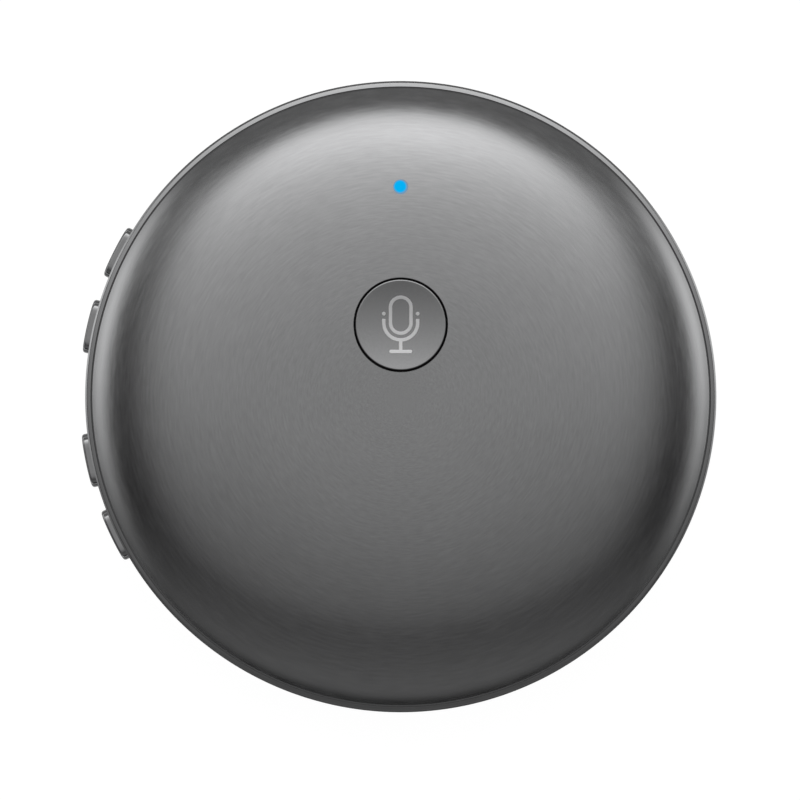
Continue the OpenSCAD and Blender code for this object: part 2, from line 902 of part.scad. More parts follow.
module processor() {
    color("#222226")
        chip(-(processor_w + chip_gap) / 2, shield_y, processor_w, processor_w, chip_h);
}

module memory_chip() {
    color("#222226")
        chip((memory_l + chip_gap) / 2, shield_y, memory_l, memory_w, chip_h);
}

module shield_can() {
    color("#b8babc")
        difference() {
            chip(0, shield_y, shield_l, shield_w, shield_h);
            translate([0, 0, -shield_wall])
                chip(0, shield_y, shield_l - 2 * shield_wall, shield_w - 2 * shield_wall, shield_h);
        }
}

module radio_module() {
    color("#a8aaac")
        chip((radio_x0 + radio_x1) / 2, 0, radio_x1 - radio_x0, radio_w, radio_h);
}

module chip_antenna() {
    color("#e6e2d6")
        chip(antenna_x, 0, antenna_w, antenna_l, antenna_h);
}

module audio_amplifier() {
    color("#222226")
        chip(amplifier_x, talk_y, amplifier_w, amplifier_w, chip_h);
}

module charging_chip() {
    color("#222226")
        chip(0, charger_y, charger_l, charger_w, chip_h);
}

module board_components() {
    color("#8a7a62") {
        for (place = small_places)
            chip(place[0], place[1], small_l, small_w, small_h);
        for (side = [-1, 1])
            chip(side * coil_x, charger_y, coil_w, coil_w, coil_h);
    }
}

// ---------------------------------------------------------------- cell

module battery() {
    color("#c9ccd0")
        translate([-protection_l / 2, battery_y, battery_z])
            rounded_block(battery_l - protection_l, battery_w, battery_t, battery_corner);
}

module battery_protection_board() {
    color("#1f5a3a")
        translate([battery_end_x - protection_l, battery_y0 + battery_corner, battery_z])
            cube([protection_l, battery_w - 2 * battery_corner, protection_h]);
}

module battery_tape() {
    color("#e8e6dc")
        translate([-protection_l / 2, battery_y, floor_z])
            rounded_block(battery_l - protection_l - 2 * tape_inset, battery_w - 2 * tape_inset,
                          tape_t, battery_corner);
}

module battery_lead() {
    color("#a02020")
        wire_pair(battery_end_x, battery_y, battery_lead_z, battery_lead_out, battery_bend_r, plug_z);
}

module battery_plug() {
    color("#f0ede2")
        translate([battery_socket_x - plug_l / 2, battery_y - plug_w / 2, plug_z])
            cube([plug_l, plug_w, plug_h]);
}

module battery_socket() {
    color("#e4dfd0")
        translate([battery_socket_x - socket_l / 2, battery_y - socket_w / 2, board_z0 - socket_h])
            cube([socket_l, socket_w, socket_h]);
}

// ---------------------------------------------------------------- loudspeaker

module speaker_mesh() {
    color("#141416")
        translate([0, speaker_y, floor_z])
            cylinder(h = mesh_t, r = speaker_r - ring_gap);
}

module speaker_gasket() {
    color("#2c2c2e")
        translate([0, speaker_y, floor_z + mesh_t])
            difference() {
                cylinder(h = gasket_t, r = speaker_r);
                translate([0, 0, -cut])
                    cylinder(h = gasket_t + 2 * cut, r = speaker_r - gasket_w);
            }
}

module speaker_frame() {
    color("#3a3a3c")
        translate([0, speaker_y, speaker_z])
            difference() {
                cylinder(h = basket_h, r = speaker_r);
                translate([0, 0, -cut])
                    cylinder(h = basket_h - basket_wall + cut, r = speaker_r - basket_wall);
                translate([0, 0, basket_h - basket_wall - cut])
                    cylinder(h = basket_wall + 2 * cut, d = magnet_d);
            }
}

module speaker_magnet() {
    color("#9a9c9e")
        translate([0, speaker_y, speaker_z + basket_h - basket_wall])
            cylinder(h = speaker_h - basket_h + basket_wall, d = magnet_d);
}

// A thin cone that is clamped at its outer edge, with a flat cap over the coil
module speaker_cone() {
    edge_r = speaker_r - basket_wall;
    color("#1a1a1c")
        translate([0, speaker_y, cone_edge_z])
            rotate_extrude()
                polygon([
                    [0, cone_rise],
                    [cone_cap_r, cone_rise],
                    [edge_r - basket_wall, 0],
                    [edge_r, 0],
                    [edge_r, cone_t],
                    [edge_r - basket_wall, cone_t],
                    [cone_cap_r, cone_rise + cone_t],
                    [0, cone_rise + cone_t]
                ]);
}

module speaker_pad() {
    color("#3c3c40")
        translate([0, speaker_y, speaker_top])
            cylinder(h = board_z0 - speaker_top, d = magnet_d - 2 * pad_inset);
}

module speaker_lead() {
    color("#202020")
        wire_pair(speaker_r, speaker_y, speaker_lead_z, speaker_lead_out, speaker_bend_r, board_z0);
}

// ---------------------------------------------------------------- microphones and socket

// A microphone that hangs under the board with its port towards the rim
module microphone(angle) {
    color("#c8a860")
        rotate([0, 0, angle])
            translate([mic_face_r - mic_t, -mic_w / 2, board_z0 - mic_h])
                cube([mic_t, mic_w, mic_h]);
}

// A rubber boot that leads the rim's hole to the microphone
module microphone_boot(angle) {
    color("#1c1c1e")
        difference() {
            intersection() {
                rotate([0, 0, angle])
                    translate([mic_face_r, -boot_w / 2, rim_mid - boot_h / 2])
                        cube([boot_l + cut, boot_w, boot_h]);
                cylinder(h = dome_top, r = boot_r);
            }
            mic_hole(angle, mic_face_r - cut, band_r + cut);
        }
}

module talk_microphone() { microphone(talk_mic_angle); }
module talk_microphone_boot() { microphone_boot(talk_mic_angle); }
module rear_microphone() { microphone(rear_mic_angle); }
module rear_microphone_boot() { microphone_boot(rear_mic_angle); }

// A pill-shaped tube that is closed at the back
module usb_shell() {
    color("#b4b6b8")
        difference() {
            radial_pill(270, -usb_back_y, -usb_mouth_y, usb_w, usb_h);
            radial_pill(270, -usb_back_y + usb_wall, -usb_mouth_y + cut,
                        usb_w - 2 * usb_wall, usb_h - 2 * usb_wall);
        }
}

// The contact tongue, on a base that fills the back of the shell
module usb_tongue() {
    color("#26262a") {
        radial_pill(270, -usb_back_y + usb_wall, -usb_back_y + usb_wall + usb_base_l,
                    usb_w - 2 * usb_wall, usb_h - 2 * usb_wall);
        translate([-usb_tongue_w / 2, usb_mouth_y + usb_tongue_back, rim_mid - usb_tongue_t / 2])
            cube([usb_tongue_w, usb_l - usb_wall - usb_tongue_back, usb_tongue_t]);
    }
}

top_shell();
rim_frame();
bottom_shell();
foot_ring();
case_screws();
threaded_inserts();
talk_button();
mic_symbol();
talk_switch();
talk_switch_plunger();
power_button();
language_button();
volume_up_button();
volume_down_button();
power_switch();
language_switch();
volume_up_switch();
volume_down_switch();
power_plunger();
language_plunger();
volume_up_plunger();
volume_down_plunger();
status_led();
light_pipe();
main_board();
processor();
memory_chip();
shield_can();
radio_module();
chip_antenna();
audio_amplifier();
charging_chip();
board_components();
battery();
battery_protection_board();
battery_tape();
battery_lead();
battery_plug();
battery_socket();
speaker_frame();
speaker_magnet();
speaker_cone();
speaker_gasket();
speaker_mesh();
speaker_pad();
speaker_lead();
talk_microphone();
talk_microphone_boot();
rear_microphone();
rear_microphone_boot();
usb_shell();
usb_tongue();
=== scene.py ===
# %% [markdown]
# # A handheld voice translator, modelled around its construction
#
# The translator is a round puck of gunmetal aluminium. A domed shell and a flatter shell close on
# a rim, a dished button to talk sits in the dome, a small blue light sits above it, and four
# sprung buttons stand out of the rim at the left. The construction fixes every size and place,
# so this lesson starts by loading it, and then makes each visible surface over it.

# %% Load the fixed frame
import json
import math

import bmesh
import bpy
from mathutils import Matrix, Vector


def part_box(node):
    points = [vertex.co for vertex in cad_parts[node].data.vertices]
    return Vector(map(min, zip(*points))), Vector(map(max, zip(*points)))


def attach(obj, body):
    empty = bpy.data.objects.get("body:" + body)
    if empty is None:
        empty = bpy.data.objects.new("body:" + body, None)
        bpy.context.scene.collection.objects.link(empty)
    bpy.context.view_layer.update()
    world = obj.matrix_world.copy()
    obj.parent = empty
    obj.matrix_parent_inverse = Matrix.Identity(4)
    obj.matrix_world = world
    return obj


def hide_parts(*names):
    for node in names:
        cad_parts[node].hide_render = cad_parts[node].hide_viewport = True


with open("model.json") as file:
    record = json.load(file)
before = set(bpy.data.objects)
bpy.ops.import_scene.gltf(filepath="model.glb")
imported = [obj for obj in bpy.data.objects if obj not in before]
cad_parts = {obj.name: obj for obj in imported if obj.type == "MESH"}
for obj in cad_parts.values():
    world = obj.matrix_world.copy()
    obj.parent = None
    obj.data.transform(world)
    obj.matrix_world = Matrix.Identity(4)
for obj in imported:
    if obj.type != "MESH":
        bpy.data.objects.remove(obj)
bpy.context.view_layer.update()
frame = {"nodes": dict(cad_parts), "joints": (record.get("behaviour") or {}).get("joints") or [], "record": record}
MM = 0.001
nodes = frame["nodes"]

# %% [markdown]
# ## The sizes that the surfaces need
#
# Most sizes can be read from the boxes of the construction's own pieces, which is safer than
# writing them twice: if the case changes, the surfaces follow. Only what no box can tell, such as
# a wall or a gap inside a piece, is written here as a value of its own.

# %% Levels and radii of the case
rim_low, rim_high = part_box("rim_frame")
dome_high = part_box("top_shell")[1]
belly_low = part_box("bottom_shell")[0]
board_low, board_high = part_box("main_board")
LIP_W = 0.6 * MM
LIP_H = 0.6 * MM
BAND_W = 2.2 * MM
SHELL_WALL = 1.4 * MM
rim_r = rim_high.x
lip_r = rim_r - LIP_W
band_r = rim_r - BAND_W
shell_r = dome_high.x
lip_top = rim_high.z
seat_high = lip_top - LIP_H
seat_low = rim_low.z + LIP_H
rim_mid = (seat_low + seat_high) / 2
print(f"rim {2000 * rim_r:.1f} mm across, dome top at {1000 * dome_high.z:.2f} mm")

# %% The dome's curve
DOME_POWER = 3
DOME_REACH = 2.4 * MM


def dome_z(radius, wall=0.0):
    """Height of the dome at a distance from its axis, outside, or inside a wall."""
    height = dome_high.z - lip_top - wall
    full = shell_r - wall + DOME_REACH
    cut = math.sqrt(1 - ((shell_r - wall) / full) ** DOME_POWER)
    curve = math.sqrt(max(0.0, 1 - (radius / full) ** DOME_POWER))
    return lip_top + height * (curve - cut) / (1 - cut)


print(f"dome meets its straight edge at {1000 * dome_z(shell_r):.2f} mm")

# %% [markdown]
# ## The camera
#
# A product shot from straight above hardly shows any perspective, so the camera stands far away
# behind a long lens. It looks along its own -Z, which an unturned camera has pointing down, so
# it needs a place and no rotation.

# %% Place the camera
LENS = 300
SENSOR = 36
FRAME_W = 83.61 * MM
CAMERA_X = -0.076 * MM
CAMERA_Y = -0.347 * MM
CLIP_END = 10
bpy.ops.object.select_all(action="DESELECT")
bpy.ops.object.camera_add(location=(CAMERA_X, CAMERA_Y, lip_top + FRAME_W * LENS / SENSOR))
camera = bpy.context.object
camera.data.lens = LENS
camera.data.sensor_width = SENSOR
camera.data.clip_end = CLIP_END
bpy.context.scene.camera = camera
print(f"camera {camera.location.z:.3f} m up")

# %% [markdown]
# ## The floor
#
# The table is plain and white. A white that only comes from lamps would need so much light that
# the metal would glare, so the floor shows itself as white to the eye and to reflections, and
# stays an ordinary pale floor for the light that it receives. A seventh part of what the eye
# sees is still the lit floor, and that keeps the shadow. Its back is clear, for views from below,
# and it lies a hair under the foot, so that the two never share a plane.

# %% Lay the floor
FLOOR_SIZE = 5
FLOOR_DROP = 0.02 * MM
FLOOR_SHARE = 0.85
FLOOR_GLOW = 1.13
FLOOR_COLOUR = (0.8, 0.8, 0.8, 1)


def add_node(tree, kind, inputs=None, **settings):
    """A shader node with its settings, and with values or other nodes' outputs as its inputs."""
    node = tree.nodes.new("ShaderNode" + kind)
    for name, value in settings.items():
        setattr(node, name, value)
    for name, value in (inputs or {}).items():
        if isinstance(value, bpy.types.NodeSocket):
            tree.links.new(value, node.inputs[name])
        else:
            node.inputs[name].default_value = value
    return node


def math_node(tree, operation, *values):
    """The output of a Math node on numbers or other nodes' outputs."""
    return add_node(tree, "Math", dict(enumerate(values)), operation=operation).outputs[0]


def soft_step(tree, value, start, end):
    """Goes softly from 0 at start to 1 at end."""
    limits = {"Value": value, "From Min": start, "From Max": end}
    return add_node(tree, "MapRange", limits, interpolation_type="SMOOTHSTEP").outputs["Result"]


def new_material(name):
    """An empty material and its node tree."""
    material = bpy.data.materials.new(name)
    material.use_nodes = True
    material.node_tree.nodes.clear()
    return material, material.node_tree


def show(tree, kind, inputs):
    """Makes a shader with these inputs the surface of its material."""
    shader = add_node(tree, kind, inputs)
    add_node(tree, "OutputMaterial", {"Surface": shader.outputs[0]})


floor_material, tree = new_material("pale_floor")
ray = add_node(tree, "LightPath").outputs
seen = math_node(tree, "MAXIMUM", ray["Is Camera Ray"], ray["Is Glossy Ray"])
seen = math_node(tree, "MAXIMUM", seen, ray["Is Transmission Ray"])
lit = add_node(tree, "BsdfDiffuse", {"Color": FLOOR_COLOUR}).outputs[0]
glow = add_node(tree, "Emission", {"Strength": FLOOR_GLOW}).outputs[0]
share = math_node(tree, "MULTIPLY", seen, FLOOR_SHARE)
front = add_node(tree, "MixShader", {0: share, 1: lit, 2: glow}).outputs[0]
clear = add_node(tree, "BsdfTransparent").outputs[0]
from_below = add_node(tree, "NewGeometry").outputs["Backfacing"]
show(tree, "MixShader", {0: from_below, 1: front, 2: clear})

bpy.ops.mesh.primitive_plane_add(size=FLOOR_SIZE, location=(0, 0, -FLOOR_DROP))
floor = bpy.context.object
floor.name = "floor"
floor.data.materials.append(floor_material)
print("floor", FLOOR_SIZE, "m wide")

# %% [markdown]
# ## The studio
#
# Satin metal has almost no colour of its own: it shows the room, blurred. What a photographer
# does with soft boxes is done here in the world itself. One large box hangs overhead and grows
# brighter towards the back, a round one glows in its middle, a strip stands low at each side and
# a weak one in front. Each is a product of soft edges, so no hard border shows in the metal.
# Directions are turned into places on the ceiling or on a wall by dividing by the height or by
# the distance to the side. A pale band at the horizon is the backdrop of level views.

# %% Edges and boxes of light
world = bpy.data.worlds.new("studio")
bpy.context.scene.world = world
world.use_nodes = True
sky = world.node_tree
sky.nodes.clear()


def solve(operation, *values):
    """The output of a Math node in the sky."""
    return math_node(sky, operation, *values)


def rise(value, start, end):
    """Goes softly from 0 at start to 1 at end."""
    return soft_step(sky, value, start, end)


def fall(value, start, end):
    """Goes softly from 1 at start to 0 at end."""
    return solve("SUBTRACT", 1, rise(value, start, end))


def product(first, *others):
    """All the values multiplied."""
    for value in others:
        first = solve("MULTIPLY", first, value)
    return first


def total_of(first, *others):
    """All the values added."""
    for value in others:
        first = solve("ADD", first, value)
    return first


NEAR_ZERO = 0.02
direction = add_node(sky, "TexCoord").outputs["Generated"]
east, north, up = add_node(sky, "SeparateXYZ", {0: direction}).outputs
sideways = solve("ABSOLUTE", east)
height = solve("MAXIMUM", up, NEAR_ZERO)
aside = solve("MAXIMUM", sideways, NEAR_ZERO)
ahead = solve("MAXIMUM", solve("MULTIPLY", north, -1), NEAR_ZERO)
ceiling_x = solve("DIVIDE", sideways, height)
ceiling_y = solve("DIVIDE", north, height)

# %% The box overhead and the lamp in it
PANEL_LIGHT = 0.534
PANEL_SLOPE = 0.85
PANEL_SLOPE_END = 1.2
PANEL_ROUND = 1.067
PANEL_SIDE = (0.408, 1.041)
PANEL_NEAR = (-0.56, -0.49)
PANEL_FAR = (1.109, 1.551)
LAMP_LIGHT = 0.984
LAMP_Y = 0.843
LAMP_HALF_W = 2.131
LAMP_HALF_L = 0.731
slope = solve("MULTIPLY_ADD", solve("MINIMUM", ceiling_y, PANEL_SLOPE_END), PANEL_SLOPE, PANEL_LIGHT)
rounded_y = solve("MULTIPLY_ADD", product(ceiling_x, ceiling_x), PANEL_ROUND, ceiling_y)
panel = product(
    solve("MAXIMUM", slope, 0), fall(ceiling_x, *PANEL_SIDE),
    rise(ceiling_y, *PANEL_NEAR), fall(rounded_y, *PANEL_FAR),
)
lamp_x = solve("DIVIDE", ceiling_x, LAMP_HALF_W)
lamp_y = solve("DIVIDE", solve("SUBTRACT", ceiling_y, LAMP_Y), LAMP_HALF_L)
from_lamp = solve("SQRT", total_of(product(lamp_x, lamp_x), product(lamp_y, lamp_y)))
inside = solve("MAXIMUM", solve("SUBTRACT", 1, from_lamp), 0)
lamp = product(inside, inside, LAMP_LIGHT)

# %% The strips at the sides and the weak box in front
STRIP_LIGHT = 4.176
STRIP_NEAR = (-0.831, 1.252)
STRIP_FAR = (-0.012, 1.123)
STRIP_LOW = (0.07, 0.45)
STRIP_HIGH = (0.35, 0.74)
FRONT_LIGHT = 0.013
FRONT_LOW = (0.266, 0.518)
FRONT_SIDE = (0, 2.969)
FRONT_TOP = 5.0
wall_y = solve("DIVIDE", north, aside)
wall_z = solve("DIVIDE", up, aside)
strips = product(
    rise(wall_y, *STRIP_NEAR), fall(wall_y, *STRIP_FAR),
    rise(wall_z, *STRIP_LOW), fall(wall_z, *STRIP_HIGH), STRIP_LIGHT,
)
front_x = solve("DIVIDE", sideways, ahead)
front_z = solve("DIVIDE", up, ahead)
below_top = solve("MAXIMUM", solve("SUBTRACT", FRONT_TOP, front_z), 0)
front_box = product(
    below_top, below_top, rise(front_z, *FRONT_LOW), fall(front_x, *FRONT_SIDE),
    FRONT_LIGHT, solve("LESS_THAN", north, 0),
)

# %% Add them up
ROOM_LIGHT = 0.022
ROOM_BACK = 0.277
ROOM_DEPTH = (-0.6, 0.9)
HORIZON = (0.055, 0.085)
room = solve("MULTIPLY_ADD", rise(north, *ROOM_DEPTH), ROOM_BACK, ROOM_LIGHT)
horizon = fall(up, *HORIZON)
above_horizon = product(total_of(room, panel, lamp, strips, front_box), solve("SUBTRACT", 1, horizon))
background = add_node(
    sky, "Background", {"Color": (1, 1, 1, 1), "Strength": total_of(above_horizon, horizon)}
)
add_node(sky, "OutputWorld", {"Surface": background.outputs[0]})
bpy.context.scene.view_settings.view_transform = "Standard"
print(len(sky.nodes), "nodes light the studio")

# %% [markdown]
# ## Turned metal
#
# The shells are spun on a lathe against an abrasive pad, which leaves fine rings round the axis.
# The rings are a noise whose place is the distance from the axis, stretched a lot, and the
# direction round the axis, stretched a little, so each scratch is a short arc. Making them by
# noise rather than by bumps in the mesh keeps the dome's curve clean. The scratches change the
# colour and the gloss a little, and hardly the slope, which is how satin anodised metal looks.

# %% A recipe for turned metal
RING_WIDTH = 0.15 * MM
RING_ARCS = 12
RING_RELIEF = 0.004 * MM
RING_BUMP = 0.12
RING_DETAIL = 4
CLOUD_SIZE = 6 * MM
CLOUD_SHADE = 0.02
CLOUD_DETAIL = 2
GLOSS_RANGE = 0.03
# Painted shade on a side button's ends and outer edge: how dark it is, and where flank and edge begin.
PAINTED_EDGE_SHADE = 0.75
FLANK_H = 0.8 * MM
END_BACK = 0.05 * MM
EDGE_BACK = 0.1 * MM
AXIS_R = 0.01 * MM
NOISE_ROUGHNESS = 0.6
NOISE_MIDDLE = (0.25, 0.75)


def object_place(tree, centre=(0, 0)):
    """The place on a piece, measured from a centre in the plane of the table."""
    place = add_node(tree, "TexCoord").outputs["Object"]
    shifted = add_node(tree, "Mapping", {"Vector": place, "Location": (-centre[0], -centre[1], 0)})
    return shifted.outputs[0]


def noise(tree, vector, scale, detail):
    """A noise between 0 and 1 at a place."""
    inputs = {"Vector": vector, "Scale": scale, "Detail": detail, "Roughness": NOISE_ROUGHNESS}
    return add_node(tree, "TexNoise", inputs).outputs[0]


def spread(tree, value, low, high):
    """Stretches the middle half of a noise over a range."""
    start, end = NOISE_MIDDLE
    inputs = {"Value": value, "From Min": start, "From Max": end, "To Min": low, "To Max": high}
    return add_node(tree, "MapRange", inputs).outputs["Result"]


def mixed(tree, factor, first, second, blend="MIX"):
    """Two colours mixed by a factor."""
    inputs = {"Factor": factor, "A": first, "B": second}
    return add_node(tree, "Mix", inputs, data_type="RGBA", blend_type=blend).outputs["Result"]


def bumps(tree, height, strength, distance):
    """The slopes of a fine relief."""
    inputs = {"Height": height, "Strength": strength, "Distance": distance}
    return add_node(tree, "Bump", inputs).outputs[0]


def place_and_radius(tree, centre):
    """The three axes of a place, and its distance from the axis through a centre."""
    x, y, z = add_node(tree, "SeparateXYZ", {0: object_place(tree, centre)}).outputs
    squares = math_node(tree, "ADD", math_node(tree, "MULTIPLY", x, x), math_node(tree, "MULTIPLY", y, y))
    return x, y, z, math_node(tree, "MAXIMUM", math_node(tree, "SQRT", squares), AXIS_R)


def ring_place(tree, centre):
    """A place whose first axis crosses the rings and whose others run along them."""
    x, y, z, radius = place_and_radius(tree, centre)
    across = math_node(tree, "DIVIDE", math_node(tree, "ADD", radius, z), RING_WIDTH)
    along = [
        math_node(tree, "MULTIPLY", math_node(tree, "DIVIDE", value, radius), RING_ARCS)
        for value in (x, y)
    ]
    return add_node(tree, "CombineXYZ", dict(enumerate([across, *along]))).outputs[0]


def edge_shade_mask(tree, face_r, height):
    """Mask of painted shade: 1 on the ends and the outer edge of a side button, and 0 on its flank and its face.
    """
    z, radius = place_and_radius(tree, (0, 0))[2:]
    from_middle = math_node(tree, "ABSOLUTE", math_node(tree, "SUBTRACT", z, height))
    on_flank = math_node(tree, "GREATER_THAN", from_middle, FLANK_H)
    limit = math_node(tree, "MULTIPLY_ADD", on_flank, END_BACK - EDGE_BACK, face_r - END_BACK)
    return math_node(tree, "COMPARE", on_flank, math_node(tree, "GREATER_THAN", radius, limit), 0.5)


def turned_metal(name, colour, roughness, grain, centre=(0, 0), painted_shade_zones=(), edges=None):
    """Satin metal with fine rings round a centre, with painted shade in zones between two radii and, if asked, on
    a side button's ends and outer edge.
    """
    material, tree = new_material(name)
    rings = noise(tree, ring_place(tree, centre), 1, RING_DETAIL)
    cloud = noise(tree, object_place(tree), 1 / CLOUD_SIZE, CLOUD_DETAIL)
    cloud_shade = spread(tree, cloud, -CLOUD_SHADE, CLOUD_SHADE)
    shade = math_node(tree, "ADD", spread(tree, rings, 1 - grain, 1 + grain), cloud_shade)
    # Painted shade: each zone multiplies the base colour darker.
    painted_shades = [(edge_shade_mask(tree, *edges), PAINTED_EDGE_SHADE)] if edges else []
    for zone_centre, low, high, black in painted_shade_zones:
        radius = place_and_radius(tree, zone_centre)[-1]
        limits = math_node(tree, "GREATER_THAN", radius, low), math_node(tree, "LESS_THAN", radius, high)
        painted_shades.append((math_node(tree, "MULTIPLY", *limits), black))
    for where, black in painted_shades:
        shade = math_node(tree, "MULTIPLY", shade, math_node(tree, "MULTIPLY_ADD", where, -black, 1))
    show(tree, "BsdfPrincipled", {
        "Base Color": mixed(tree, 1, (*colour, 1), shade, "MULTIPLY"),
        "Metallic": 1,
        "Roughness": spread(tree, rings, roughness - GLOSS_RANGE, roughness + GLOSS_RANGE),
        "Normal": bumps(tree, rings, RING_BUMP, RING_RELIEF),
    })
    return material


# %% The metals of the case, with painted shade in the seam and in the gap round the talk button
GUNMETAL = (0.28, 0.281, 0.284)
SILVER = (0.66, 0.66, 0.665)
SATIN = 0.2
# How much painted shade darkens the seam round the dome and the lip's inner wall, and, near black, the gap round
# the talk button.
PAINTED_SEAM_SHADE = 0.6
PAINTED_GAP_SHADE = 0.97
SKIN = 0.01 * MM
LIP_SKIN = 0.03 * MM
TALK_GAP = 0.19 * MM
TALK_FLANGE = 0.65 * MM
talk_low, talk_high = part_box("talk_button")
talk_y = (talk_low.y + talk_high.y) / 2
hole_r = talk_high.x - TALK_FLANGE
cap_r = hole_r - TALK_GAP
# Painted shade in the seam between the dome and the rim, and on the seat and inner wall of the rim's lip.
seam = ((0, 0), shell_r - SKIN, rim_r, PAINTED_SEAM_SHADE)
lip_wall = ((0, 0), band_r, lip_r + LIP_SKIN, PAINTED_SEAM_SHADE)
# Painted shade, near black, on the dome's bore round the talk button and on the cap's outer wall and flange.
hole_wall = ((0, talk_y), 0, hole_r + SKIN, PAINTED_GAP_SHADE)
cap_wall = ((0, talk_y), cap_r - SKIN, rim_r, PAINTED_GAP_SHADE)
finishes = {
    "shell_metal": turned_metal("spun_gunmetal", GUNMETAL, SATIN, 0.09, painted_shade_zones=[seam, hole_wall]),
    "rim_metal": turned_metal("rim_gunmetal", GUNMETAL, SATIN, 0.05, painted_shade_zones=[lip_wall]),
    "talk_metal": turned_metal("talk_gunmetal", GUNMETAL, SATIN, 0.05, (0, talk_y), [cap_wall]),
    "symbol_silver": turned_metal("inlaid_silver", SILVER, roughness=0.42, grain=0.02),
}
print("metals for", *finishes)

# %% [markdown]
# ## Drawing and turning
#
# Nearly every part of a puck is a body of revolution, so the first tool is a lathe. A chain of
# edges is drawn vertex by vertex in the plane of the X and Z axes, and spun round the Z axis.
# Faces could also be stacked ring by ring, but a drawn section keeps each step, seat and corner
# where the drawing has it. The seam and the pole are merged, and the faces turned outwards.

# %% Selecting and drawing
TURN_STEPS = 256
WELD = 0.0005 * MM


def select_only(piece):
    """Makes one piece the only one selected, and the active one."""
    bpy.ops.object.select_all(action="DESELECT")
    piece.select_set(True)
    bpy.context.view_layer.objects.active = piece


def start_edit(piece):
    """Opens one piece for editing, with nothing selected in it."""
    select_only(piece)
    bpy.ops.object.mode_set(mode="EDIT")
    bpy.ops.mesh.select_mode(type="VERT")
    bpy.ops.mesh.select_all(action="DESELECT")


def end_edit():
    """Closes the piece that is being edited."""
    bpy.ops.object.mode_set(mode="OBJECT")


def pick(kind, test):
    """Selects only the vertices, edges or faces whose middle passes a test."""
    bpy.ops.mesh.select_mode(type={"verts": "VERT", "edges": "EDGE", "faces": "FACE"}[kind])
    bpy.ops.mesh.select_all(action="DESELECT")
    mesh = bmesh.from_edit_mesh(bpy.context.object.data)
    for item in getattr(mesh, kind):
        corners = [item] if kind == "verts" else item.verts
        if test(sum((corner.co for corner in corners), Vector()) / len(corners)):
            item.select_set(True)
    mesh.select_flush_mode()
    bmesh.update_edit_mesh(bpy.context.object.data)


def draw(points, closed=False):
    """A chain of edges through points, extruded one vertex at a time."""
    bpy.ops.mesh.primitive_plane_add(size=MM, location=(0, 0, 0))
    chain = bpy.context.object
    bpy.ops.object.mode_set(mode="EDIT")
    bpy.ops.mesh.select_mode(type="VERT")
    bpy.ops.mesh.merge(type="CENTER")
    bpy.ops.transform.translate(value=points[0])
    for before, after in zip(points, points[1:]):
        bpy.ops.mesh.extrude_region_move(TRANSFORM_OT_translate={"value": after - before})
    if closed:
        ends = (points[0], points[-1])
        pick("verts", lambda at: min((at - end).length for end in ends) < WELD)
        bpy.ops.mesh.edge_face_add()
    end_edit()
    return chain


def lathe(section, closed=False, rounds=(), steps=TURN_STEPS):
    """A body turned round the Z axis from a section, which is pairs of a radius and a height.

    Each round is the radius and the height of a corner, its size and its number of segments.
    """
    body = draw([Vector((radius, 0, height)) for radius, height in section], closed)
    for radius, height, size, segments in rounds:
        corner = Vector((radius, 0, height))
        start_edit(body)
        pick("verts", lambda at: (at - corner).length < WELD)
        bpy.ops.mesh.bevel(offset=size, segments=segments, affect="VERTICES")
        end_edit()
    start_edit(body)
    bpy.ops.mesh.select_all(action="SELECT")
    bpy.ops.mesh.spin(steps=steps, angle=math.tau, center=(0, 0, 0), axis=(0, 0, 1))
    bpy.ops.mesh.select_all(action="SELECT")
    bpy.ops.mesh.remove_doubles(threshold=WELD)
    bpy.ops.mesh.normals_make_consistent(inside=False)
    end_edit()
    return body


def shift(piece, x=0.0, y=0.0, z=0.0):
    """Moves a piece's mesh, and leaves its object at the origin."""
    piece.data.transform(Matrix.Translation((x, y, z)))
    return piece


# %% Cutting, joining and handing over
def apply_step(piece, kind, **settings):
    """Adds a modifier with its settings to a piece, and applies it."""
    step = piece.modifiers.new("step", kind)
    for name, value in settings.items():
        setattr(step, name, value)
    select_only(piece)
    bpy.ops.object.modifier_apply(modifier=step.name)


def combine(piece, others, operation="DIFFERENCE"):
    """Cuts other bodies out of a piece, or melts them into it."""
    for other in others:
        apply_step(piece, "BOOLEAN", operation=operation, solver="EXACT", object=other)
        bpy.data.objects.remove(other)
    return piece


def cylinder(radius, low, high, x=0.0, y=0.0, corners=96):
    """A plain upright cylinder, for use as a cutter or a boss."""
    bpy.ops.mesh.primitive_cylinder_add(
        vertices=corners, radius=radius, depth=high - low, location=(x, y, (low + high) / 2)
    )
    bpy.ops.object.transform_apply(location=True, rotation=True, scale=True)
    return bpy.context.object


def block(size, centre):
    """A plain box, for use as a cutter or as a start."""
    bpy.ops.mesh.primitive_cube_add(size=1, location=centre)
    bpy.context.object.scale = size
    bpy.ops.object.transform_apply(location=True, rotation=True, scale=True)
    return bpy.context.object


def duplicate(piece):
    """A separate copy of a piece."""
    copy = piece.copy()
    copy.data = piece.data.copy()
    bpy.context.scene.collection.objects.link(copy)
    return copy


def smooth(piece, angle=30):
    """Shades a piece smooth, except across edges sharper than an angle."""
    select_only(piece)
    bpy.ops.object.shade_smooth_by_angle(angle=math.radians(angle))


def keep_flat(piece):
    """Lets the wide faces of a shaded piece look flat, right up to their rounded corners.

    The modifier can't weigh faces as small as these, so they are weighed a thousand times larger.
    """
    piece.data.transform(Matrix.Scale(1 / MM, 4))
    apply_step(piece, "WEIGHTED_NORMAL", keep_sharp=True, thresh=0)
    piece.data.transform(Matrix.Scale(MM, 4))


def open_edges(piece):
    """How many edges don't have exactly two faces, which is none on a closed body."""
    mesh = bmesh.new()
    mesh.from_mesh(piece.data)
    count = sum(1 for edge in mesh.edges if len(edge.link_faces) != 2)
    mesh.free()
    return count


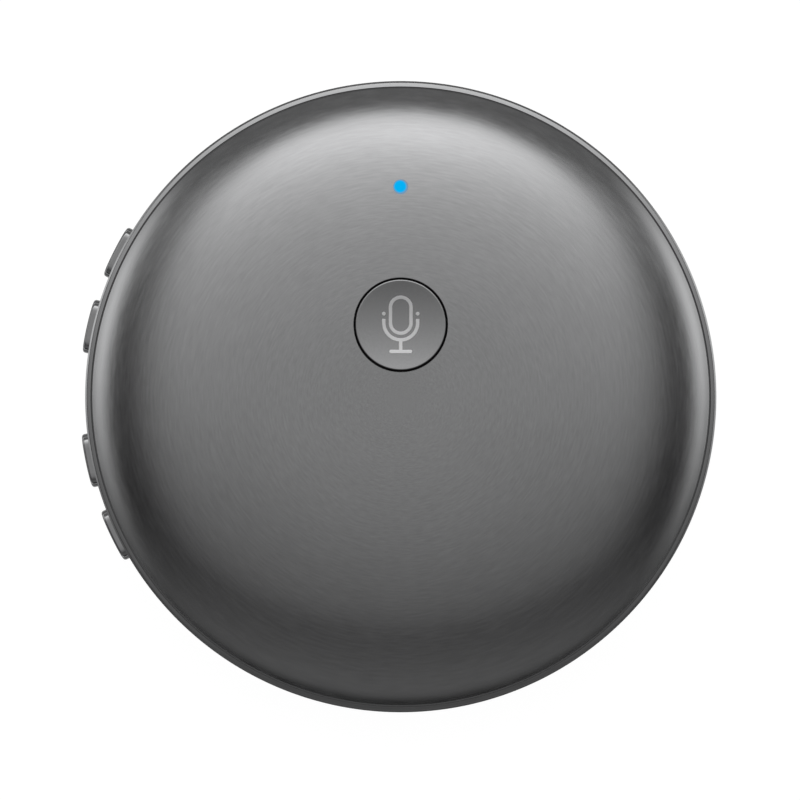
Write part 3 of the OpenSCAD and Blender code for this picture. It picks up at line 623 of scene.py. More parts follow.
def hand_over(piece, name, body, slot, *replaced):
    """Names a finished piece, gives it the finish of its slot, and puts it on its body."""
    smooth(piece)
    piece.name = name
    piece.data.name = name
    piece.data.materials.clear()
    piece.data.materials.append(finishes[slot])
    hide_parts(*replaced)
    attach(piece, body)
    print(f"{name}: {len(piece.data.polygons)} faces, {open_edges(piece)} open edges")


# %% [markdown]
# ## The domed shell
#
# The shell is pressed from sheet and then machined, so it is one thin wall with tubes standing
# inside it: a guide for the talk button, a sleeve for the light and four bosses for the screws.
# The section follows the construction's curve, outside and inside, and stops at a short upright
# edge. The curve's points are spaced by an angle, so they crowd where it turns down most, and
# the reflections on the shoulder stay even.

# %% Turn the dome's wall
DOME_POINTS = 44
INNER_POINTS = 24


def dome_points(count, wall=0.0):
    """Points along the dome from its edge to its top, crowded at the shoulder."""
    full = shell_r - wall + DOME_REACH
    end = math.asin(((shell_r - wall) / full) ** (DOME_POWER / 2))
    radii = [full * math.sin(end * i / count) ** (2 / DOME_POWER) for i in range(count, -1, -1)]
    return [(radius, dome_z(radius, wall)) for radius in radii]


inner_r = shell_r - SHELL_WALL
outer_curve = dome_points(DOME_POINTS)
inner_curve = dome_points(INNER_POINTS, SHELL_WALL)
dome = lathe([*reversed(outer_curve), (shell_r, seat_high), (inner_r, seat_high), *inner_curve])
print(len(outer_curve) + len(inner_curve), "points in the section")

# %% Add the guide, the sleeve and the bosses
FLANGE_PLAY = 0.1 * MM
FLANGE_T = 0.7 * MM
GUIDE_WALL = 1.4 * MM
LIGHT_R = 0.75 * MM
LIGHT_FIT = 0.03 * MM
SLEEVE_WALL = 1 * MM
SLEEVE_RISE = 2.4 * MM
BOSS_R = 2.6 * MM
SCREW_CIRCLE = 24 * MM
SCREW_ANGLES = (60, 120, 240, 300)
light_low, light_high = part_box("light_pipe")
light_y = (light_low.y + light_high.y) / 2
guide_low = talk_low.z + FLANGE_T + FLANGE_PLAY
sleeve_low = board_high.z + SLEEVE_RISE


def on_circle(radius, angle):
    """The X and Y of a place on a circle round the axis, at an angle in radians."""
    return radius * math.cos(angle), radius * math.sin(angle)


def in_wall(radius):
    """A height halfway through the dome's wall at a distance from its axis."""
    return (dome_z(radius) + dome_z(radius, SHELL_WALL)) / 2


screw_places = [on_circle(SCREW_CIRCLE, math.radians(angle)) for angle in SCREW_ANGLES]
tubes = [
    cylinder(hole_r + GUIDE_WALL, guide_low, in_wall(talk_y + hole_r + GUIDE_WALL), y=talk_y),
    cylinder(LIGHT_R + SLEEVE_WALL, sleeve_low, in_wall(light_y + LIGHT_R + SLEEVE_WALL), y=light_y),
]
tubes += [cylinder(BOSS_R, board_high.z, in_wall(SCREW_CIRCLE + BOSS_R), x, y) for x, y in screw_places]
combine(dome, tubes, "UNION")
print(len(tubes), "tubes under the dome")

# %% Cut the holes
INSERT_R = 1.6 * MM
INSERT_POCKET = 2.9 * MM
HOLE_EDGE = 0.03 * MM
HOLE_SLOPE = math.radians(30)
FLARE = 0.6 * MM
DOME_SMOOTH = 12
cap_top = talk_high.z
edge_low = cap_top - HOLE_EDGE
flare_r = hole_r + FLARE
flare_top = edge_low + FLARE * math.tan(HOLE_SLOPE)


def reach(vertex):
    """A vertex's distance from the Z axis."""
    return math.hypot(vertex.co.x, vertex.co.y)


talk_hole = lathe([
    (0, guide_low - MM), (hole_r, guide_low - MM), (hole_r, edge_low), (flare_r, flare_top),
    (flare_r, flare_top + MM), (0, flare_top + MM),
])
shift(talk_hole, y=talk_y)
for vertex in talk_hole.data.vertices:
    if vertex.co.z > guide_low:
        vertex.co.z += dome_z(reach(vertex)) - cap_top
light_hole = cylinder(LIGHT_R + LIGHT_FIT, sleeve_low - MM, dome_high.z + FLARE, y=light_y)
pocket_top = board_high.z + INSERT_POCKET
pockets = [cylinder(INSERT_R, board_high.z - MM, pocket_top, x, y) for x, y in screw_places]
combine(dome, [talk_hole, light_hole, *pockets])
hand_over(dome, "domed_shell", "case", "shell_metal", "top_shell")
smooth(dome, DOME_SMOOTH)

# %% [markdown]
# ## The rim
#
# The rim is a ring turned from bar. Its lips stand up outside the two shells and hide their
# edges, and the top of the upper lip slopes a little outwards, which gives it a brightness of
# its own. The section is closed this time, because a ring doesn't reach the axis. The slots for
# the four buttons and the socket and two holes for microphones are milled afterwards, with
# their edges broken.

# %% Turn the rim
LIP_SLOPE = math.radians(15)
LIP_CHAMFER = 0.2 * MM
CHAMFER_SLOPE = math.radians(33)
LIP_EDGE = 0.02 * MM
RIM_EDGE = 0.05 * MM
chamfer_r = rim_r - LIP_CHAMFER
chamfer_top = lip_top - (LIP_W - LIP_CHAMFER) * math.tan(LIP_SLOPE)
rim_section = [
    (band_r, seat_low), (lip_r, seat_low), (lip_r, rim_low.z), (chamfer_r, rim_low.z),
    (rim_r, rim_low.z + LIP_CHAMFER), (rim_r, chamfer_top - LIP_CHAMFER * math.tan(CHAMFER_SLOPE)),
    (chamfer_r, chamfer_top), (lip_r, lip_top), (lip_r, seat_high), (band_r, seat_high),
]
rim_rounds = [(lip_r, lip_top, LIP_EDGE, 2), (chamfer_r, chamfer_top, RIM_EDGE, 3)]
rim = lathe(rim_section, True, rim_rounds, 2 * TURN_STEPS)
print(len(rim_section), "corners in the rim's section")

# %% [markdown]
# ## Pills
#
# The side buttons, their slots and the charging socket all have the outline of a pill. It is
# drawn once as a function: two half circles, each a row of points on an arc. The outline is
# filled and pushed outwards, and a bend follows the rim, so that a button's face and a slot's
# broken edge keep the same depth from end to end.

# %% Draw and push out a pill
PILL_ARC = 12
SLOT_EDGE = 0.08 * MM


def pill_points(radius, length, height):
    """The outline of a pill that stands at a radius on +X and lies along Y."""
    end_r = height / 2
    points = []
    for side in (1, -1):
        for i in range(PILL_ARC + 1):
            turned = math.pi * i / PILL_ARC
            y = side * ((length - height) / 2 + end_r * math.sin(turned))
            points.append(Vector((radius, y, rim_mid + side * end_r * math.cos(turned))))
    return points


def soften(piece, test, size, segments=3):
    """Bevels the edges of a piece whose middle passes a test."""
    start_edit(piece)
    pick("edges", test)
    bpy.ops.mesh.bevel(offset=size, segments=segments, affect="EDGES")
    end_edit()


def pill(radius, depth, length, height):
    """A pill-shaped prism that reaches outwards from a radius."""
    piece = draw(pill_points(radius, length, height), closed=True)
    start_edit(piece)
    bpy.ops.mesh.select_all(action="SELECT")
    bpy.ops.mesh.edge_face_add()
    bpy.ops.mesh.extrude_region_move(TRANSFORM_OT_translate={"value": (depth, 0, 0)})
    bpy.ops.mesh.select_all(action="SELECT")
    bpy.ops.mesh.normals_make_consistent(inside=False)
    end_edit()
    return piece


def bend(piece, radius, from_radius):
    """Curves the outer part of a piece back round the Z axis, as far as a radius asks."""
    for vertex in piece.data.vertices:
        if vertex.co.x > from_radius:
            vertex.co.x -= radius - math.sqrt(radius * radius - vertex.co.y ** 2)


def flared_cutter(length, height):
    """A cutter for a slot in the rim, with a flare that breaks the slot's outer edge."""
    piece = pill(band_r - MM, rim_r - SLOT_EDGE - band_r + MM, length, height)
    far = rim_r - SLOT_EDGE - WELD
    start_edit(piece)
    pick("faces", lambda at: at.x > far)
    bpy.ops.mesh.extrude_region_move(TRANSFORM_OT_translate={"value": (MM, 0, 0)})
    end_edit()
    straight = (length - height) / 2
    for vertex in piece.data.vertices:
        if vertex.co.x > rim_r:
            centre_y = max(-straight, min(straight, vertex.co.y))
            out = Vector((0, vertex.co.y - centre_y, vertex.co.z - rim_mid))
            vertex.co += out.normalized() * MM
    bend(piece, rim_r, band_r)
    return piece


def spin_to(piece, angle):
    """Turns a piece's mesh round the Z axis by an angle in degrees."""
    piece.data.transform(Matrix.Rotation(math.radians(angle), 4, "Z"))
    return piece


# %% Mill the slots
SIDE_L = 5.7 * MM
SIDE_H = 2.3 * MM
SIDE_GAP = 0.1 * MM
USB_W = 8.94 * MM
USB_H = 3.26 * MM
USB_ANGLE = -90
MIC_HOLE = 1 * MM
MIC_ANGLES = (320, 90)
SIDE_KEYS = ("power", "language", "volume_up", "volume_down")
press_axis = {joint["name"]: joint["axis"] for joint in frame["joints"]}
side_angles = {}
for key in SIDE_KEYS:
    inwards = press_axis[key + "_press"]
    side_angles[key] = math.degrees(math.atan2(-inwards[1], -inwards[0]))
slots = [(SIDE_L + 2 * SIDE_GAP, SIDE_H + 2 * SIDE_GAP, angle) for angle in side_angles.values()]
slots.append((USB_W + 2 * SIDE_GAP, USB_H + 2 * SIDE_GAP, USB_ANGLE))
slots += [(MIC_HOLE, MIC_HOLE, angle) for angle in MIC_ANGLES]
combine(rim, [spin_to(flared_cutter(length, height), angle) for length, height, angle in slots])
hand_over(rim, "rim", "case", "rim_metal", "rim_frame")
keep_flat(rim)

# %% [markdown]
# ## The talk button
#
# The cap is turned, with a shallow dish for the finger and a narrow sloping edge that catches the
# light. Because the dish is hollow, it shows the studio the other way round from the dome: dark
# above and bright below. The dish is an arc in the section, worked out from its depth. Under the
# face the cap has a skirt, a stem that presses the switch, and a flange that keeps it in.

# %% Turn the cap
DISH_DEPTH = 0.36 * MM
DISH_LAND = 0.08 * MM
DISH_EDGE = 0.04 * MM
LAND_SLOPE = math.radians(20)
CAP_EDGE = 0.02 * MM
CAP_ROOF = 1.2 * MM
CAP_STEPS = 192
SKIRT_T = 1.1 * MM
STEM_R = 1.6 * MM
DISH_POINTS = 16
dish_r = cap_r - DISH_LAND - CAP_EDGE
dish_sphere = (dish_r ** 2 + DISH_DEPTH ** 2) / (2 * DISH_DEPTH)
skirt_r = cap_r - SKIRT_T
cap_bottom = talk_low.z
flange_r = talk_high.x
flange_top = cap_bottom + FLANGE_T
roof_low = cap_top - DISH_DEPTH - CAP_ROOF
land_low = cap_top - DISH_LAND * math.tan(LAND_SLOPE)


def dish_z(radius):
    """Height of the dish's face at a distance from the cap's axis."""
    return cap_top - DISH_DEPTH + dish_sphere - math.sqrt(dish_sphere ** 2 - radius ** 2)


dish_radii = [dish_r * i / DISH_POINTS for i in range(DISH_POINTS + 1)]
cap_section = [(radius, dish_z(radius)) for radius in dish_radii] + [
    (cap_r - CAP_EDGE, land_low), (cap_r, land_low - CAP_EDGE), (cap_r, flange_top),
    (flange_r, flange_top), (flange_r, cap_bottom), (skirt_r, cap_bottom), (skirt_r, roof_low),
    (STEM_R, roof_low), (STEM_R, cap_bottom), (0, cap_bottom),
]
cap = shift(lathe(cap_section, False, [(dish_r, cap_top, DISH_EDGE, 3)], CAP_STEPS), y=talk_y)
hand_over(cap, "talk_button_cap", "talk_key", "talk_metal", "talk_button")
keep_flat(cap)

# %% [markdown]
# ## The side buttons
#
# Each button is a pill with soft edges that stands a little out of the rim, with a flange behind
# the rim that keeps it in and a nub that reaches the switch. One is modelled on +X. Cuts along
# its length let the bend curve its face, and then four copies are turned to their places.

# %% Model one side button
SIDE_PROUD = 0.75 * MM
SIDE_EDGE = 0.28 * MM
SIDE_FLANGE_T = 0.8 * MM
SIDE_FLANGE_W = 0.55 * MM
SIDE_CUTS = 8
PLUNGER_W = 1.8 * MM
PLUNGER_H = 1.1 * MM
SWITCH_SET_BACK = 0.6 * MM
PLUNGER_OUT = 0.8 * MM
NUB_SINK = 0.2 * MM
side_flange_r = band_r - FLANGE_PLAY
side_back_r = side_flange_r - SIDE_FLANGE_T
side_face_r = rim_r + SIDE_PROUD
nub_r = board_high.x - SWITCH_SET_BACK + PLUNGER_OUT
flange_l = SIDE_L + 2 * (SIDE_GAP + SIDE_FLANGE_W)
flange_h = SIDE_H + 2 * (SIDE_GAP + SIDE_FLANGE_W)


def cut_across(piece, length):
    """Cuts a piece into slices along Y, so that it can bend."""
    start_edit(piece)
    for i in range(1, SIDE_CUTS):
        bpy.ops.mesh.select_all(action="SELECT")
        y = length * (i / SIDE_CUTS - 0.5)
        bpy.ops.mesh.bisect(plane_co=(0, y, 0), plane_no=(0, 1, 0))
    end_edit()


button = pill(side_back_r, side_face_r - side_back_r, SIDE_L, SIDE_H)
soften(button, lambda at: at.x > side_face_r - WELD, SIDE_EDGE, 6)
cut_across(button, SIDE_L - SIDE_H)
bend(button, side_face_r, band_r)
flange = pill(side_back_r, side_flange_r - side_back_r, flange_l, flange_h)
cut_across(flange, flange_l - flange_h)
bend(flange, side_flange_r, side_flange_r - WELD)
nub_end = side_back_r + NUB_SINK
nub = block((nub_end - nub_r, PLUNGER_W, PLUNGER_H), ((nub_r + nub_end) / 2, 0, rim_mid))
combine(button, [flange, nub], "UNION")
print(len(button.data.polygons), "faces on one side button")

# %% Copy it to its four places
# Painted shade darkens each side button's ends and its outer edge.
finishes["side_button_metal"] = turned_metal(
    "side_button_gunmetal", GUNMETAL, roughness=0.12, grain=0.03, edges=(side_face_r, rim_mid)
)
for key in SIDE_KEYS:
    copy = spin_to(duplicate(button), side_angles[key])
    hand_over(copy, key + "_key_cap", key + "_key", "side_button_metal", key + "_button")
    keep_flat(copy)
bpy.data.objects.remove(button)

# %% [markdown]
# ## The status light
#
# A clear rod carries the light of a chip on the board up to the dome. Its end is flush with the
# dome and glows an even blue that fades to grey at its edge, as a frosted light pipe does. The
# glow is a hair off the rod's middle, because the chip is.

# %% Turn the light pipe
LIGHT_BLUE = (0, 0.44, 0.9, 1)
LIGHT_EDGE_BLUE = (0.2, 0.3, 0.42, 1)
UNLIT_BLUE = (0, 0.02, 0.05, 1)
LIGHT_POWER = 0.97
GLOW_X = -0.06 * MM
GLOW_Y = 0.05 * MM
GLOW_CORE = 0.7
COLLAR_T = 0.6 * MM
COLLAR_W = 0.6 * MM
COLLAR_PLAY = 0.05 * MM
PIPE_STEPS = 64
pipe_top = dome_z(light_y)
collar_r = LIGHT_R + COLLAR_W
collar_top = sleeve_low - COLLAR_PLAY
collar_low = collar_top - COLLAR_T
pipe_section = [
    (0, light_low.z), (LIGHT_R, light_low.z), (LIGHT_R, collar_low), (collar_r, collar_low),
    (collar_r, collar_top), (LIGHT_R, collar_top), (LIGHT_R, pipe_top), (LIGHT_R / 2, pipe_top),
    (0, pipe_top),
]
pipe = shift(lathe(pipe_section, steps=PIPE_STEPS), y=light_y)
for vertex in pipe.data.vertices:
    if vertex.co.z > collar_top + WELD:
        vertex.co.z = dome_z(reach(vertex))
finishes["light_blue"], tree = new_material("lit_light_pipe")
place = object_place(tree, (GLOW_X, light_y + GLOW_Y))
flat = add_node(tree, "VectorMath", {0: place, 1: (1, 1, 0)}, operation="MULTIPLY").outputs[0]
from_glow = add_node(tree, "VectorMath", {0: flat}, operation="LENGTH").outputs["Value"]
fade = soft_step(tree, from_glow, GLOW_CORE * LIGHT_R, LIGHT_R)
show(tree, "BsdfPrincipled", {
    "Base Color": UNLIT_BLUE, "Roughness": 0.4, "Specular IOR Level": 0.02,
    "Emission Color": mixed(tree, fade, LIGHT_BLUE, LIGHT_EDGE_BLUE), "Emission Strength": LIGHT_POWER,
})
hand_over(pipe, "light_rod", "case", "light_blue", "light_pipe")

# %% [markdown]
# ## The lower shell
#
# The underside repeats the dome in a flatter form: nearly plane, with a tight round shoulder. It
# has a groove for the rubber foot, which also hides the screws, and a field of small holes over
# the loudspeaker. The groove is part of the section, because it goes all the way round. The holes
# are one cutter, copied ring by ring, with a flare at its mouth so that no edge is sharp.

# %% Turn the lower shell
BELLY_POWER = 10
BELLY_POINTS = 20
FLOOR_R = 23.94 * MM
GROOVE_HALF_W = 2.35 * MM
GROOVE_DEPTH = 0.8 * MM
GROOVE_EDGE = 0.08 * MM
groove_top = belly_low.z + GROOVE_DEPTH
groove_in = SCREW_CIRCLE - GROOVE_HALF_W
groove_out = SCREW_CIRCLE + GROOVE_HALF_W


def belly_z(radius, wall=0.0):
    """Height of the lower shell at a distance from its axis, outside, or inside a wall."""
    depth = seat_low - belly_low.z - wall
    return seat_low - depth * math.sqrt(max(0.0, 1 - (radius / (shell_r - wall)) ** BELLY_POWER))


def belly_points(start, wall=0.0):
    """Points along the lower shell from a radius to its edge, crowded at the shoulder."""
    full = shell_r - wall
    first = math.asin((start / full) ** (BELLY_POWER / 2))
    turns = [first + (math.pi / 2 - first) * i / BELLY_POINTS for i in range(1, BELLY_POINTS + 1)]
    radii = [full * math.sin(turned) ** (2 / BELLY_POWER) for turned in turns]
    return [(radius, belly_z(radius, wall)) for radius in radii]


floor_z = belly_low.z + SHELL_WALL
groove_low = belly_z(groove_out)
belly_section = [
    (0, belly_low.z), (groove_in, belly_low.z), (groove_in, groove_top), (groove_out, groove_top),
    (groove_out, groove_low), *belly_points(groove_out), *reversed(belly_points(FLOOR_R, SHELL_WALL)),
    (FLOOR_R, belly_z(FLOOR_R, SHELL_WALL)), (FLOOR_R, floor_z), (0, floor_z),
]
groove_rounds = [(groove_in, belly_low.z, GROOVE_EDGE, 2), (groove_out, groove_low, GROOVE_EDGE, 2)]
belly = lathe(belly_section, rounds=groove_rounds)
print(len(belly_section), "points in the section")

# %% Add its bosses and the loudspeaker's wall
HEAD_SPACE = 0.2 * MM
HEAD_H = 0.9 * MM
SPEAKER_WALL_R = 10.95 * MM
SPEAKER_WALL_T = 0.8 * MM
SPEAKER_WALL_H = 1.2 * MM
RING_STEPS = 94
RIB_L = 14 * MM
RIB_W = 0.6 * MM
RIB_H = 1.5 * MM
RIB_PLAY = 0.15 * MM
BOSS_SINK = 0.2 * MM
speaker_low, speaker_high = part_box("speaker_frame")
speaker_y = (speaker_low.y + speaker_high.y) / 2
in_floor = (belly_low.z + floor_z) / 2
wall_in = SPEAKER_WALL_R - SPEAKER_WALL_T
wall_top = floor_z + SPEAKER_WALL_H
wall_section = [
    (wall_in, in_floor), (SPEAKER_WALL_R, in_floor), (SPEAKER_WALL_R, wall_top), (wall_in, wall_top)
]
speaker_wall = shift(lathe(wall_section, True, steps=RING_STEPS), y=speaker_y)
rib_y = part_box("battery")[0].y - RIB_PLAY - RIB_W / 2
rib_h = RIB_H + floor_z - in_floor
rib = block((RIB_L, RIB_W, rib_h), (0, rib_y, in_floor + rib_h / 2))
bosses = [cylinder(BOSS_R, groove_top + BOSS_SINK, board_low.z, x, y) for x, y in screw_places]
combine(belly, [*bosses, speaker_wall, rib], "UNION")
print(len(bosses), "bosses, a ring and a rib in the lower shell")

# %% Drill it
HEAD_HOLE_R = 1.9 * MM
SHAFT_HOLE_R = 1.1 * MM
SHAFT_SINK = 0.5 * MM
BORE_CORNERS = 48
SOUND_HOLE_R = 0.6 * MM
SOUND_PITCH = 2.4 * MM
SOUND_RINGS = 3
SOUND_EDGE = 0.1 * MM
SOUND_STEPS = 24
head_seat = groove_top + HEAD_SPACE + HEAD_H
drill_low = belly_low.z - MM
drill_section = [
    (0, drill_low), (SOUND_HOLE_R + SOUND_EDGE + MM, drill_low),
    (SOUND_HOLE_R, belly_low.z + SOUND_EDGE), (SOUND_HOLE_R, floor_z + MM), (0, floor_z + MM),
]
drill = shift(lathe(drill_section, steps=SOUND_STEPS), y=speaker_y)
places = [(0, 0)]
for ring in range(1, SOUND_RINGS + 1):
    places += [on_circle(ring * SOUND_PITCH, math.tau * i / (6 * ring)) for i in range(6 * ring)]


def copies_at(piece, spots):
    """One object that holds a copy of a piece's mesh at each spot."""
    copies = [shift(duplicate(piece), x, y) for x, y in spots]
    select_only(copies[-1])
    for copy in copies:
        copy.select_set(True)
    bpy.data.objects.remove(piece)
    bpy.ops.object.join()
    return bpy.context.object


shaft_low = head_seat - SHAFT_SINK
heads = [cylinder(HEAD_HOLE_R, groove_top - MM, head_seat, x, y, BORE_CORNERS) for x, y in screw_places]
shafts = [
    cylinder(SHAFT_HOLE_R, shaft_low, board_low.z + MM, x, y, BORE_CORNERS) for x, y in screw_places
]
combine(belly, [*heads, *shafts, copies_at(drill, places)])
finishes["lower_shell_metal"] = turned_metal("lower_gunmetal", GUNMETAL, roughness=0.27, grain=0.09)
hand_over(belly, "lower_shell", "case", "lower_shell_metal", "bottom_shell")
print(len(places), "sound holes")

# %% [markdown]
# ## Soft, moulded and plated finishes
#
# Inside the case every piece has a plain trade finish. Three recipes cover them: a fine speckle
# for whatever is moulded, pressed or plated, a circuit board with tracks under its lacquer, and
# a woven cloth. Each is a noise or a pattern in the piece's own place, so nothing needs to be
# unwrapped.

# %% Recipes for the inner pieces
SPECKLE_BUMP = 0.3
SPECKLE_GLOSS = 0.05
SPECKLE_DETAIL = 4
TRACK_PITCH = 0.9 * MM
TRACK_REPEAT = 0.08
TRACK_EDGE = 0.045
THREAD = 0.14 * MM
THREAD_SHADE = (0.4, 1.8)


def shades(colour, darker, lighter):
    """A darker and a lighter shade of a colour."""
    return [(*[min(1, part * factor) for part in colour], 1) for factor in (darker, lighter)]


def speckled(tree, colour, roughness, speckle, uneven, relief):
    """The inputs of a shader whose colour, gloss and surface vary a little at one scale."""
    grains = noise(tree, object_place(tree), 1 / speckle, SPECKLE_DETAIL)
    return {
        "Base Color": mixed(tree, grains, *shades(colour, 1 - uneven, 1 + uneven)),
        "Roughness": spread(tree, grains, roughness - SPECKLE_GLOSS, roughness + SPECKLE_GLOSS),
        "Normal": bumps(tree, grains, SPECKLE_BUMP, relief),
    }


def finish(name, colour, roughness, speckle, uneven, metal, relief):
    """A plain finish, with its speckle and its relief in millimetres."""
    material, tree = new_material(name)
    look = speckled(tree, colour, roughness, speckle * MM, uneven, relief * MM)
    show(tree, "BsdfPrincipled", {**look, "Metallic": metal})
    return material


def circuit_board(name, lacquer, tracks):
    """A lacquered board with paler tracks that run in square steps."""
    material, tree = new_material(name)
    look = speckled(tree, lacquer, roughness=0.35, speckle=0.3 * MM, uneven=0.08, relief=0.002 * MM)
    cells = add_node(
        tree, "TexVoronoi", {"Scale": 1 / TRACK_PITCH, "Vector": object_place(tree)},
        feature="F2", distance="CHEBYCHEV",
    )
    line = math_node(tree, "PINGPONG", cells.outputs["Distance"], TRACK_REPEAT)
    track = math_node(tree, "GREATER_THAN", line, TRACK_EDGE)
    look["Base Color"] = mixed(tree, track, look["Base Color"], (*tracks, 1))
    show(tree, "BsdfPrincipled", look)
    return material


def cloth(name, colour):
    """A fine woven cloth: two sets of threads that pass over and under."""
    material, tree = new_material(name)
    wave = {"Scale": 1 / (2 * THREAD * math.pi), "Vector": object_place(tree)}
    waves = [add_node(tree, "TexWave", wave, bands_direction=axis).outputs["Fac"] for axis in "XY"]
    weave = math_node(tree, "MULTIPLY", *waves)
    show(tree, "BsdfPrincipled", {
        "Base Color": mixed(tree, weave, *shades(colour, *THREAD_SHADE)), "Roughness": 0.85,
        "Normal": bumps(tree, weave, 1, THREAD / 2),
    })
    return material


# %% The foot
BLACK = (0.022, 0.022, 0.024)
FOOT_CHAMFER = 0.25 * MM
FOOT_HALF_W = 2.3 * MM
foot_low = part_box("foot_ring")[0].z
foot_in = SCREW_CIRCLE - FOOT_HALF_W
foot_out = SCREW_CIRCLE + FOOT_HALF_W
foot_section = [(foot_in, groove_top), (foot_in, foot_low), (foot_out, foot_low), (foot_out, groove_top)]
foot = lathe(foot_section, True, [(radius, foot_low, FOOT_CHAMFER, 5) for radius in (foot_in, foot_out)])
finishes["foot_rubber"] = finish("foot_rubber", BLACK, 0.7, 0.12, 0.25, 0, 0.02)
hand_over(foot, "rubber_foot", "case", "foot_rubber", "foot_ring")
keep_flat(foot)

# %% [markdown]
# ## Finishes for the inner pieces
#
# Each row below is one finish: its colour, its roughness, how large its speckles are, how much
# they vary, whether it is metal, and how deep its relief is. A foil pouch crinkles over a
# millimetre or more, while moulded plastic only has a fine grain.

# %% Mix the finishes
FINISHES = {
    "switch_plastic": ((0.03, 0.03, 0.032), 0.5, 0.2, 0.1, 0, 0.01),
    "plunger_plastic": ((0.65, 0.63, 0.58), 0.45, 0.3, 0.04, 0, 0.01),
    "led_white": ((0.8, 0.84, 0.88), 0.25, 0.2, 0.03, 0, 0.005),
    "chip_black": (BLACK, 0.55, 0.1, 0.2, 0, 0.01),
    "can_metal": ((0.55, 0.56, 0.57), 0.32, 0.6, 0.06, 1, 0.01),
    "pale_ceramic": ((0.75, 0.72, 0.64), 0.4, 0.2, 0.05, 0, 0.01),
    "tan_ceramic": ((0.3, 0.24, 0.16), 0.4, 0.2, 0.2, 0, 0.01),
    "cell_foil": ((0.55, 0.56, 0.58), 0.42, 1.5, 0.05, 1, 0.06),
    "tape_white": ((0.78, 0.77, 0.72), 0.6, 0.5, 0.04, 0, 0.02),
    "lead_red": ((0.35, 0.02, 0.02), 0.4, 0.3, 0.1, 0, 0.01),
    "lead_black": (BLACK, 0.4, 0.3, 0.1, 0, 0.01),
    "plug_white": ((0.8, 0.78, 0.7), 0.45, 0.3, 0.04, 0, 0.01),
    "speaker_plastic": ((0.04, 0.04, 0.042), 0.55, 0.25, 0.12, 0, 0.02),
    "magnet_steel": ((0.45, 0.45, 0.46), 0.3, 0.5, 0.08, 1, 0.01),
    "cone_paper": (BLACK, 0.75, 0.1, 0.3, 0, 0.03),
    "gasket_foam": ((0.03, 0.03, 0.033), 0.9, 0.15, 0.4, 0, 0.08),
    "mic_metal": ((0.6, 0.5, 0.3), 0.3, 0.4, 0.06, 1, 0.01),
    "boot_rubber": (BLACK, 0.6, 0.15, 0.2, 0, 0.02),
    "socket_steel": ((0.5, 0.5, 0.51), 0.25, 0.4, 0.05, 1, 0.01),
    "tongue_plastic": (BLACK, 0.5, 0.2, 0.1, 0, 0.01),
    "screw_steel": ((0.5, 0.5, 0.5), 0.28, 0.3, 0.06, 1, 0.01),
    "insert_brass": ((0.6, 0.45, 0.18), 0.3, 0.3, 0.08, 1, 0.01),
}
for slot, row in FINISHES.items():
    finishes[slot] = finish("fine_" + slot, *row)
finishes["board_green"] = circuit_board("lacquered_board", (0.02, 0.12, 0.06), (0.06, 0.26, 0.14))
finishes["mesh_cloth"] = cloth("acoustic_cloth", (0.015, 0.015, 0.016))
print(len(finishes), "finishes")

# %% [markdown]
# ## Screws and inserts
#
# Small turned parts get their real features: a rounded head with a cross slot, a threaded shank
# and a tapered end on each screw, and knurled belts on each brass insert. The thread is a row of
# rings rather than a helix, which looks the same at this size. One of each is modelled at the
# axis and copied to its four places.

# %% Turn the screws
SCREW_R = 1 * MM
SCREW_HEAD_R = 1.75 * MM
SCREW_STEPS = 32
HEAD_ROUND = 0.25 * MM
THREAD_ROOT = 0.82 * MM
THREAD_PITCH = 0.4 * MM
THREAD_START = 0.8 * MM
SCREW_POINT = 0.4 * MM
SLOT_L = 1.9 * MM
SLOT_W = 0.4 * MM
SLOT_DEPTH = 0.5 * MM
screw_low, screw_high = (corner.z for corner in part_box("case_screws"))
first_turn = head_seat + THREAD_START
turn_count = int((screw_high - SCREW_POINT - first_turn) / THREAD_PITCH)
shank = [(SCREW_R, head_seat)]
for i in range(turn_count):
    crest = first_turn + i * THREAD_PITCH
    shank += [(SCREW_R, crest), (THREAD_ROOT, crest + THREAD_PITCH / 2)]
shank += [(SCREW_R, first_turn + turn_count * THREAD_PITCH), (THREAD_ROOT, screw_high)]
head = [(0, screw_low), (SCREW_HEAD_R, screw_low), (SCREW_HEAD_R, head_seat)]
head_round = (SCREW_HEAD_R, screw_low, HEAD_ROUND, 4)
screw = lathe([*head, *shank, (0, screw_high)], rounds=[head_round], steps=SCREW_STEPS)
slot_size = (SLOT_L, SLOT_W, 2 * SLOT_DEPTH)
combine(screw, [spin_to(block(slot_size, (0, 0, screw_low)), angle) for angle in (0, 90)])
screws = copies_at(screw, screw_places)
hand_over(screws, "turned_screws", "case", "screw_steel", "case_screws")
print(turn_count, "turns of thread")

# %% Turn the inserts
INSERT_BORE = 1.03 * MM
BELT_ROOT = 1.42 * MM
BELT_STEP = 0.1 * MM
BELTS = 3
KNURL_STEPS = 64
KNURL_DEPTH = 0.95
insert_low, insert_high = (corner.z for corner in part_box("threaded_inserts"))
belt_gap = 4 * BELT_STEP
belt_h = (insert_high - insert_low - (BELTS - 1) * belt_gap) / BELTS
belts = []
for i in range(BELTS):
    belt_low = insert_low + i * (belt_h + belt_gap)
    belt_high = belt_low + belt_h
    belts += [(INSERT_R, belt_low), (INSERT_R, belt_high)]
    if i < BELTS - 1:
        belts += [(BELT_ROOT, belt_high + BELT_STEP), (BELT_ROOT, belt_high + 3 * BELT_STEP)]
insert = lathe([*belts, (INSERT_BORE, insert_high), (INSERT_BORE, insert_low)], True, steps=KNURL_STEPS)
for vertex in insert.data.vertices:
    step = round(math.atan2(vertex.co.y, vertex.co.x) / math.tau * KNURL_STEPS)
    if step % 2 and reach(vertex) > BELT_ROOT + WELD:
        vertex.co.x *= KNURL_DEPTH
        vertex.co.y *= KNURL_DEPTH
inserts = copies_at(insert, screw_places)
hand_over(inserts, "knurled_inserts", "case", "insert_brass", "threaded_inserts")

